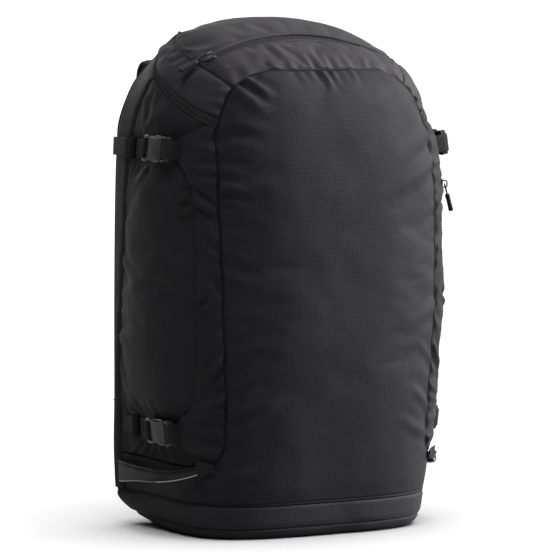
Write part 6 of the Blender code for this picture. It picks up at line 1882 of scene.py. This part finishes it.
# ---------------------------------------------------------------- side straps and buckles
def buckle_female():
    """Socket half: hood, back plate, walls and webbing bar.  Gives the hood and the rest."""
    s0, s1 = -0.0122, 0.0184
    f = pchip([(s0, 0.0118), (-0.0095, 0.0127), (-0.0030, 0.0121), (0.0030, 0.0117), (0.0090, 0.0121), (0.0155, 0.0128), (s1, 0.0118)])
    q = np.linspace(s0, s1, 40)
    face = rounded(np.concatenate([np.stack([q, -f(q)], 1), np.stack([q[::-1], f(q)[::-1]], 1)]), 0.0016, 2)
    v1, f1 = plate([face], 0.0058, 0.0084, 0.0010, 4)
    v1[:, 2] += 0.0008 * np.cos(math.pi / 2 * np.clip((v1[:, 0] - 0.0031) / 0.016, -1, 1)) * np.clip((v1[:, 2] - 0.0058) / 0.0026, 0, 1)
    hood = [(v1, f1)]
    # raised rims along both long edges, and a lip at the mouth
    for k in (-1, 1):
        hood.append(plate([rounded([(-0.0085, k * 0.0098), (0.0145, k * 0.0098), (0.0145, k * 0.0105), (-0.0085, k * 0.0105)], 0.0003, 2)], 0.0084, 0.0092, 0.0003))
    hood.append(plate([rounded([(s0, -0.0108), (s0 + 0.0013, -0.0108), (s0 + 0.0013, 0.0108), (s0, 0.0108)], 0.0005, 3)], 0.0064, 0.0089, 0.0005))
    g = pchip([(-0.0060, 0.0134), (0.0000, 0.0128), (0.0070, 0.0126), (0.0150, 0.0134), (0.0200, 0.0140), (0.0250, 0.0130)])
    q = np.linspace(-0.0060, 0.0250, 34)
    slot = rounded([(0.0186, -0.0106), (0.0220, -0.0106), (0.0220, 0.0106), (0.0186, 0.0106)], 0.0008, 3)
    rest = [plate([rounded(np.concatenate([np.stack([q, -g(q)], 1), np.stack([q[::-1], g(q)[::-1]], 1)]), 0.0016, 2), slot], 0.0, 0.0021, 0.0006)]
    rest.append(plate([rounded([(0.0140, -0.0114), (0.0178, -0.0114), (0.0178, 0.0114), (0.0140, 0.0114)], 0.0008, 3)], 0.0015, 0.0062, 0.0003))
    rest.append(plate([rounded([(0.0222, -0.0134), (0.0250, -0.0126), (0.0250, 0.0126), (0.0222, 0.0134)], 0.0009, 3)], 0.0015, 0.0068, 0.0008))
    for k in (-1, 1):
        rest.append(plate([rounded([(0.0140, k * 0.0106), (0.0247, k * 0.0106), (0.0247, k * 0.0128), (0.0205, k * 0.0140), (0.0165, k * 0.0134), (0.0140, k * 0.0120)], 0.0009, 3)], 0.0015, 0.0072, 0.0008))
    tidy = lambda bits: merged([(v, outward(v, fc)) for v, fc in bits])
    return tidy(hood), tidy(rest)


def buckle_male():
    """Plug half: webbing frame, two spring arms and a guide tongue."""
    hole = 0.0106
    frame_o = rounded([(-0.0252, -0.0126), (-0.0244, -0.0138), (-0.0180, -0.0146), (-0.0126, -0.0136), (-0.0126, 0.0136), (-0.0180, 0.0146), (-0.0244, 0.0138), (-0.0252, 0.0126)], 0.0020, 4)
    slot = rounded([(-0.0222, -hole), (-0.0150, -hole), (-0.0150, hole), (-0.0222, hole)], 0.0010, 3)
    bits = [plate([frame_o, slot], 0.0006, 0.0074, 0.0010)]
    for k in (-1, 1):
        arm = np.array([(-0.0140, 0.0100), (0.0060, 0.0090), (0.0120, 0.0082), (0.0140, 0.0090), (0.0134, 0.0116), (0.0100, 0.0140), (0.0050, 0.0147), (-0.0020, 0.0144), (-0.0060, 0.0132), (-0.0140, 0.0132)])
        bits.append(plate([rounded(arm * (1, k), 0.0014, 3)], 0.0024, 0.0054, 0.0006))
    bits.append(plate([rounded([(-0.0140, -0.0022), (0.0090, -0.0016), (0.0090, 0.0016), (-0.0140, 0.0022)], 0.0008, 3)], 0.0028, 0.0052, 0.0005))
    return merged([(v, outward(v, fc)) for v, fc in bits])


(HOOD, FEMALE), MALE = buckle_female(), buckle_male()


def strap_strip(tag, sg, z, t0, t1, half, thick, lift, mat, nodes, body="bag", crown=0.0, waist=None):
    """Webbing that lies round the side at one height; lift(share) gives its underside's offset."""
    n = max(12, int(abs(t1 - t0) * 0.33 / 0.0018))
    t = np.linspace(t0, t1, n)
    q = np.array([-1.0, -0.985, -0.95, -0.88, -0.6, -0.3, 0.0, 0.3, 0.6, 0.88, 0.95, 0.985, 1.0])
    share = (t - t0) / (t1 - t0)
    hh = half * (waist(share) if waist else np.ones(n))
    zz = z + q[:, None] * hh[None, :]
    tt = np.broadcast_to(t[None, :], zz.shape)
    off = np.broadcast_to((lift(share))[None, :], zz.shape)
    if sg < 0:
        zz, tt, off = zz[:, ::-1], -tt[:, ::-1], off[:, ::-1]
    vv = v_at_z(tt, zz)
    pt = Patch(vv, tt)
    drop = thick / 2 * (1 - np.sqrt(np.clip(1 - np.abs(q) ** 12, 0, 1)))[:, None]
    pt.d += off + thick - drop + crown * (1 - q[:, None] ** 2)
    verts, quads, normals, _ = skin_of([pt])
    th = np.broadcast_to(thick - 2 * drop, zz.shape).ravel()
    verts, quads = thicken(verts, quads, normals, np.maximum(th, 0.0001))
    along = pt.left if sg > 0 else pt.right
    w = np.stack([along, np.broadcast_to(q[:, None] * half, zz.shape)], -1).reshape(-1, 2)
    ob = mesh_object(tag, verts, quads, mat, np.concatenate([w, w]), 60)
    settle(ob, body, nodes)
    return pt


def side_strap(side, sg, level, z, yc):
    tag = side + "_" + level
    t_mid = t_at_y(z, yc, sg)
    t_rear = t_at_y(z, yc + 0.013, sg)
    t_keep = t_at_y(z, yc + 0.0540, sg)
    # fixed webbing from the rear, under the buckle's frame; the upper one crosses the padded edge
    t_end = 0.999 if level == "upper" else 0.929
    seam = float(rear_t(v_at_z(sg * 0.9, z)))
    over = lambda t: 0.0006 + (0.0032 * step01((t - seam + 0.020) / 0.022) if level == "upper" else 0 * t)
    strap_strip(tag + "_strap", sg, z, t_rear, t_end, WEB / 2, WEB_T, lambda s: over(t_rear + (t_end - t_rear) * s), M["webbing"], [tag + "_webbing"])
    # keeper: an elastic ring round both layers
    strap_strip(tag + "_ring", sg, z, t_keep, t_keep + 0.044, WEB / 2 + 0.0020, 0.0016, lambda s: 0.0024 + over(t_keep + 0.044 * s) - 0.0006 + 0.0005 * np.sin(math.pi * s), M["elastic"], [tag + "_keeper"])
    # folded tail held by the keeper
    strap_strip(tag + "_tail", sg, z, t_keep + 0.002, t_keep + 0.062, WEB / 2 - 0.0004, 0.0012, lambda s: 0.0016 + over(t_keep + 0.002 + 0.060 * s), M["webbing"], ())
    # short webbing from under the wing's tab to the socket's bar
    t_a, t_b = float(wing_t(v_at_z(sg * 0.568, z))) - 0.030, t_at_y(z, yc - 0.0200, sg)
    strap_strip(tag + "_stub_web", sg, z, t_a, t_b, WEB / 2, WEB_T, lambda s: 0.0001 + 0.0004 * s, M["webbing"], [tag + "_stub"])
    c0 = surf(v_at_z(sg * t_mid, z), sg * t_mid)
    up = surf(v_at_z(sg * t_mid, z + 0.012), sg * t_mid) - surf(v_at_z(sg * t_mid, z - 0.012), sg * t_mid)
    up[1] = 0
    w = up / np.linalg.norm(up)
    s = np.array((0.0, -1.0, 0.0))
    n = np.cross(s, w) * (1 if np.cross(s, w)[0] * sg > 0 else -1)
    near = [t_at_y(z, yc + d, sg) for d in (-0.02, -0.01, 0.0, 0.01, 0.02)]
    reach = max(np.dot(surf(v_at_z(sg * tn, z + h), sg * tn) - c0, n) for tn in near for h in (-0.015, 0.0, 0.015))
    origin = c0 + n * (reach + BUCKLE_LIFT)
    v = placed(FEMALE[0], origin, s, w, n)
    ob = mesh_object(tag + "_buckle_socket", v, outward(v, FEMALE[1]), M["buckle"], None, 38)
    settle(ob, "bag", [tag + "_buckle_female"])
    v = placed(HOOD[0], origin, s, w, n)
    ob = mesh_object(tag + "_buckle_hood", v, outward(v, HOOD[1]), M["hood"], None, 38)
    settle(ob, "bag")
    v = placed(MALE[0], origin, s, w, n)
    ob = mesh_object(tag + "_buckle_plug", v, outward(v, MALE[1]), M["buckle"], None, 38)
    settle(ob, tag + "_buckle", [tag + "_buckle_male"])
    at = lambda a, b: origin + s * a + n * b
    t_n = t_at_y(z, yc - 0.0330, sg)
    base_n = float(np.dot(surf(v_at_z(sg * t_n, z), sg * t_n) - origin, n)) + 0.0026
    web_piece(tag + "_socket_loop", [at(0.0200, 0.0004), at(0.0200, 0.0052), at(0.0210, 0.0074), at(0.0232, 0.0080), at(0.0256, 0.0070), at(0.0267, 0.0040), at(0.0272, 0.0010), at(0.0276, base_n + 0.0012), at(0.0262, base_n + 0.0002), at(0.0225, base_n)],
              w, 0.0098, M["webbing"], "bag", n=60)
    web_piece(tag + "_plug_loop", [at(-0.0205, 0.0008), at(-0.0206, 0.0058), at(-0.0216, 0.0082), at(-0.0238, 0.0088), at(-0.0258, 0.0078), at(-0.0265, 0.0044), at(-0.0260, 0.0008)],
              w, 0.0098, M["webbing"], tag + "_buckle", n=50, thick=0.0011)


for side, sg in SIDES:
    for level, (z, yc) in (("upper", STRAP_UPPER), ("lower", STRAP_LOWER)):
        side_strap(side, sg, level, z, yc)


# ---------------------------------------------------------------- ski loops
def ski_loop(side, sg):
    q = np.linspace(0, 1, 120)
    t = 0.462 + (0.962 - 0.462) * q
    mid = LOOP_Z + pchip([(0.0, 0.0150), (0.06, 0.0112), (0.12, 0.0080), (0.22, 0.0042), (0.35, 0.0018), (0.60, 0.0002), (0.85, -0.0022), (1.0, -0.0036)])(q)
    half = pchip([(0.0, 0.0036), (0.12, 0.0042), (0.35, 0.0056), (0.60, 0.0070), (0.85, 0.0098), (1.0, 0.0112)])(q)
    bow = 0.0012 + LOOP_BOW * np.sin(math.pi * np.clip(q * 1.02 - 0.02, 0, 1)) ** 0.75
    if sg < 0:
        t, mid, half, bow, q = -t[::-1], mid[::-1], half[::-1], bow[::-1], q[::-1]
    line = surf(v_at_z(t, mid), t)
    step = np.gradient(line, axis=0)
    fn = np.stack([step[:, 1], -step[:, 0], np.zeros(len(step))], 1)
    fn /= np.linalg.norm(fn, axis=1, keepdims=True)
    h = np.array([-1.0, -0.97, -0.90, -0.78, -0.5, -0.2, 0.15, 0.5, 0.78, 0.92, 1.0])
    soft = 0.0010 * np.sin(q * 9 + 0.5 * sg) + 0.0006 * np.sin(q * 23)
    lean = 0.0016 * np.sin(math.pi * q)
    pts = np.stack([np.stack([line[:, 0], line[:, 1], mid + half * k], 1)
                    + fn * (bow + 0.0030 + (0.0016 if k > 0.9 else 0.0) + soft * np.sin(math.pi * q) * (0.4 + 0.6 * k) - lean * k + 0.0008 * (1 - k * k))[:, None] for k in h])
    nrm = np.broadcast_to(fn[None], pts.shape)
    nr, nc = pts.shape[:2]
    quads = grid_quads(nr, nc)
    verts, quads = thicken(pts.reshape(-1, 3), quads, nrm.reshape(-1, 3), 0.0024)
    run = np.concatenate([[0], np.cumsum(np.linalg.norm(np.diff(line, axis=0), axis=1))])
    w = np.stack([np.broadcast_to(run[None], (nr, nc)), np.broadcast_to((h * 0.011)[:, None], (nr, nc))], -1).reshape(-1, 2)
    ob = mesh_object(side + "_ski_loop_band", verts, outward(verts, [tuple(x) for x in quads.tolist()]), M["base"], np.concatenate([w, w]), 60)
    settle(ob, "bag", [side + "_ski_loop"])
    order = np.argsort(q)
    low, top = pts[0][order], pts[-1][order]
    o = q[order]
    fo = fn[order]
    front = (o > 0.03) & (o < 0.36)
    ob = cord_object(side + "_loop_reflective", even_path(low[front] - fo[front] * 0.0010, 0.0022), 0.0011, M["reflective"])
    settle(ob, "bag")
    rest = (o >= 0.36) & (o < 0.985)
    ob = cord_object(side + "_loop_lower_edge", even_path(low[rest] - fo[rest] * 0.0010, 0.0022), 0.0011, M["binding"])
    settle(ob, "bag")
    up = (o > 0.03) & (o < 0.985)
    ob = cord_object(side + "_loop_upper_edge", even_path(top[up] - fo[up] * 0.0010, 0.0022), 0.0013, M["pipe"])
    settle(ob, "bag")
    for k in (2, 8):
        stitch_line(pts[k][order][3:-3], fo[3:-3], "bag", lift=0.0004)
    # sewn tab over the front end
    strap_strip(side + "_loop_tab", sg, LOOP_Z + 0.0150, 0.436, 0.494, 0.0080, 0.0018, lambda s: 0.0030 + 0.0032 * step01((s - 0.3) / 0.5), M["webbing"], (),
                waist=lambda s: 0.55 + 0.45 * step01(s / 0.8))


for side, sg in SIDES:
    ski_loop(side, sg)


# ---------------------------------------------------------------- zip sliders and pulls
def slider_shape(across):
    body = rounded([(-0.0058, -0.0028), (-0.0020, -0.0031), (0.0020, -0.0040), (0.0058, -0.0042), (0.0058, 0.0042), (0.0020, 0.0040), (-0.0020, 0.0031), (-0.0058, 0.0028)], 0.0016, 4)
    bits = [plate([body], 0.0010, 0.0022, 0.0004), plate([body * 0.90], 0.0018, 0.0036, 0.0008)]
    arch = np.array([(-0.0042, 0.0030), (-0.0042, 0.0060), (-0.0037, 0.0077), (-0.0026, 0.0083), (-0.0004, 0.0084), (0.0018, 0.0083), (0.0029, 0.0076), (0.0034, 0.0060), (0.0034, 0.0030)])
    p = np.stack([arch[:, 0], 0 * arch[:, 0], arch[:, 1]], 1)
    if across:
        p = np.stack([0 * arch[:, 0], arch[:, 0] * 0.72, arch[:, 1]], 1)
    v, f, _ = tube(smooth_path(p, 26), 0.00082, 8)
    bits.append((v, f))
    return merged([(v, outward(v, fc)) for v, fc in bits])


def cord_loop(length, spread, r):
    pts = [(length + 0.004, spread * 0.30, 0.0), (length, spread * 0.45, 0.0), (length * 0.6, spread, 0.0), (length * 0.28, spread * 0.9, 0.0), (0.0012, spread * 0.45, 0.0), (0.0, 0.0, 0.0),
           (0.0012, -spread * 0.45, 0.0), (length * 0.28, -spread * 0.9, 0.0), (length * 0.6, -spread, 0.0), (length, -spread * 0.45, 0.0), (length + 0.004, -spread * 0.30, 0.0)]
    p = smooth_path(pts, 56)
    return tube(p, r, 9)


def grip_shape(start, length, half_w, half_t):
    s = np.linspace(0, 1, 46)
    k = pchip([(0.0, 0.55), (0.03, 0.82), (0.10, 1.0), (0.35, 0.90), (0.7, 0.94), (0.90, 1.0), (0.97, 0.85), (1.0, 0.50)])(s)
    ribs = np.where((s > 0.30) & (s < 0.80), 0.06 * np.cos((s - 0.30) / 0.50 * 2 * math.pi * 5), 0.0)
    path = np.stack([start + length * s, 0 * s, 0 * s], 1)
    v, f, w = sweep(path, np.tile((0.0, 1.0, 0.0), (46, 1)), np.tile((0.0, 0.0, 1.0), (46, 1)), half_w * (k + ribs), half_t * (k + ribs), superellipse(20, 2.8))
    return v, f


SLIDER, SLIDER_ACROSS = slider_shape(False), slider_shape(True)


def slider_set(label, body, pull, node, cord_node, grip_node, at, s, w, n, pin, out, side_d, face_n, across, cord, grip):
    v = placed((SLIDER_ACROSS if across else SLIDER)[0], at, s, w, n)
    ob = mesh_object(label + "_slider_metal", v, outward(v, SLIDER_ACROSS[1] if across else SLIDER[1]), M["slider"], None, 40)
    settle(ob, body, [node])
    v, f, wv = cord_loop(*cord)
    v = placed(v, pin, out, side_d, face_n)
    ob = mesh_object(label + "_cord_loop", v, outward(v, f), M["cord"], wv, 60)
    settle(ob, pull, [cord_node])
    v, f = grip_shape(*grip)
    v = placed(v, pin, out, side_d, face_n)
    ob = mesh_object(label + "_grip_moulded", v, outward(v, f), M["grip"], None, 50)
    settle(ob, pull, [grip_node])


def sliders():
    at = turned(np.array(ZIP_APEX), np.array(ZIP_REST_DEG))
    n = turned(np.array(ZIP_APEX) + ZIP_N, np.array(ZIP_REST_DEG)) - at
    s = turned(np.array(ZIP_APEX) + np.array((1.0, 0, 0)), np.array(ZIP_REST_DEG)) - at
    w = np.cross(n, s)
    pin = at + n * 0.0056 - s * 0.0004
    out = np.array((-0.825, 0.100, -0.550))
    out /= np.linalg.norm(out)
    face_n = n - out * np.dot(n, out)
    face_n /= np.linalg.norm(face_n)
    side_d = np.cross(face_n, out)
    lift = out * math.cos(math.radians(10)) + face_n * math.sin(math.radians(10))
    face_n = -np.cross(lift, side_d)
    face_n = face_n if np.dot(face_n, n) > 0 else -face_n
    slider_set("top", "top_slider", "top_pull", "top_zip_slider", "top_pull_cord", "top_pull_grip", at, s, w, n, pin, lift, side_d, face_n, False,
               (0.0165, 0.0045, 0.00085), (0.0170, 0.0240, 0.0036, 0.0028))

    z_top, run, t_run = 0.3800, 0.120, 0.538
    line = [surf(v_at_z(t_run, z), t_run, -WING_DROP) for z in np.linspace(z_top, z_top - run, 13)]
    at = np.array(line[0])
    v_mid = v_at_z(t_run, z_top - 0.06)
    n = surf(v_mid, t_run, 0.001) - surf(v_mid, t_run, 0.0)
    n[2] = 0
    n /= np.linalg.norm(n)
    clear = max(np.dot(p - at, n) for p in line)
    at = at + n * (max(clear, 0) + 0.0006)
    s = np.array((0.0, 0.0, 1.0))
    w = np.cross(n, s)
    pin = at + n * 0.0056 - s * 0.0004
    hang = np.array((0.0, 0.0, -1.0)) * math.cos(math.radians(14)) + n * math.sin(math.radians(14))
    face_n = n - hang * np.dot(n, hang)
    face_n /= np.linalg.norm(face_n)
    side_d = np.cross(face_n, hang)
    slider_set("pocket", "pocket_slider", "pocket_pull", "pocket_slider", "pocket_pull_cord", "pocket_pull_grip", at, s, w, n, pin, hang, side_d, face_n, False,
               (0.0110, 0.0036, 0.0008), (0.0114, 0.0200, 0.0034, 0.0028))
    # the pocket's zip, sewn under the wing's edge
    zz = np.linspace(z_top - run - 0.020, z_top + 0.012, 420)
    u = np.array([-0.0070, -0.0060, -0.0046, -0.0032, -0.0026, -0.0020, -0.0014, -0.0008, -0.0002, 0.0002, 0.0008, 0.0014, 0.0020, 0.0026, 0.0032, 0.0046, 0.0060, 0.0070])
    t_grid = t_run + u[None, :] / 0.342
    vv = v_at_z(np.broadcast_to(t_grid, (len(zz), len(u))), np.broadcast_to(zz[:, None], (len(zz), len(u))))
    pt = Patch(vv, np.broadcast_to(t_grid, vv.shape))
    uu = np.abs(u)[None, :]
    phase = np.where(u > 0, 0.0, math.pi)[None, :]
    teeth = 0.5 + 0.5 * np.cos(2 * math.pi * zz[:, None] / 0.0019 + phase)
    end = step01(np.minimum(pt.low, pt.high) / 0.004)
    pt.d += -WING_DROP + 0.0003 + 0.0013 * np.exp(-((uu - 0.0013) / 0.0008) ** 2) * (0.3 + 0.7 * teeth) * end
    verts, quads, normals, _ = skin_of([pt])
    verts, quads = thicken(verts, quads, normals, 0.0008)
    w2 = np.stack([np.broadcast_to(zz[:, None], vv.shape), np.broadcast_to(u[None, :], vv.shape)], -1).reshape(-1, 2)
    ob = mesh_object("pocket_zip", verts, quads, M["tape"], np.concatenate([w2, w2]), 70)
    settle(ob, "bag")

    at = surf(V_SPLIT, 1.5 - 0.5 * 0.30)
    n = np.array((0.0, 1.0, 0.0))
    at = at + n * 0.0003
    s = np.array((-1.0, 0.0, 0.0))
    w = np.cross(n, s)
    pin = at + n * 0.0056
    a = math.radians(MAIN_PULL_DEG)
    hang = np.array((0.0, math.sin(a), -math.cos(a)))
    face_n = np.array((0.0, math.cos(a), math.sin(a)))
    side_d = np.cross(face_n, hang)
    slider_set("main", "main_slider", "main_pull", "main_slider", "main_pull_cord", "main_pull_grip", at, s, w, n, pin, hang, side_d, face_n, True,
               (0.0110, 0.0036, 0.0008), (0.0114, 0.0200, 0.0034, 0.0028))


sliders()


# ---------------------------------------------------------------- thread, end
for body, parts in STITCHES.items():
    if parts:
        v, f = merged(parts)
        settle(mesh_object(body + "_stitches", v, f, M["thread"], v[:, [0, 2]]), body)
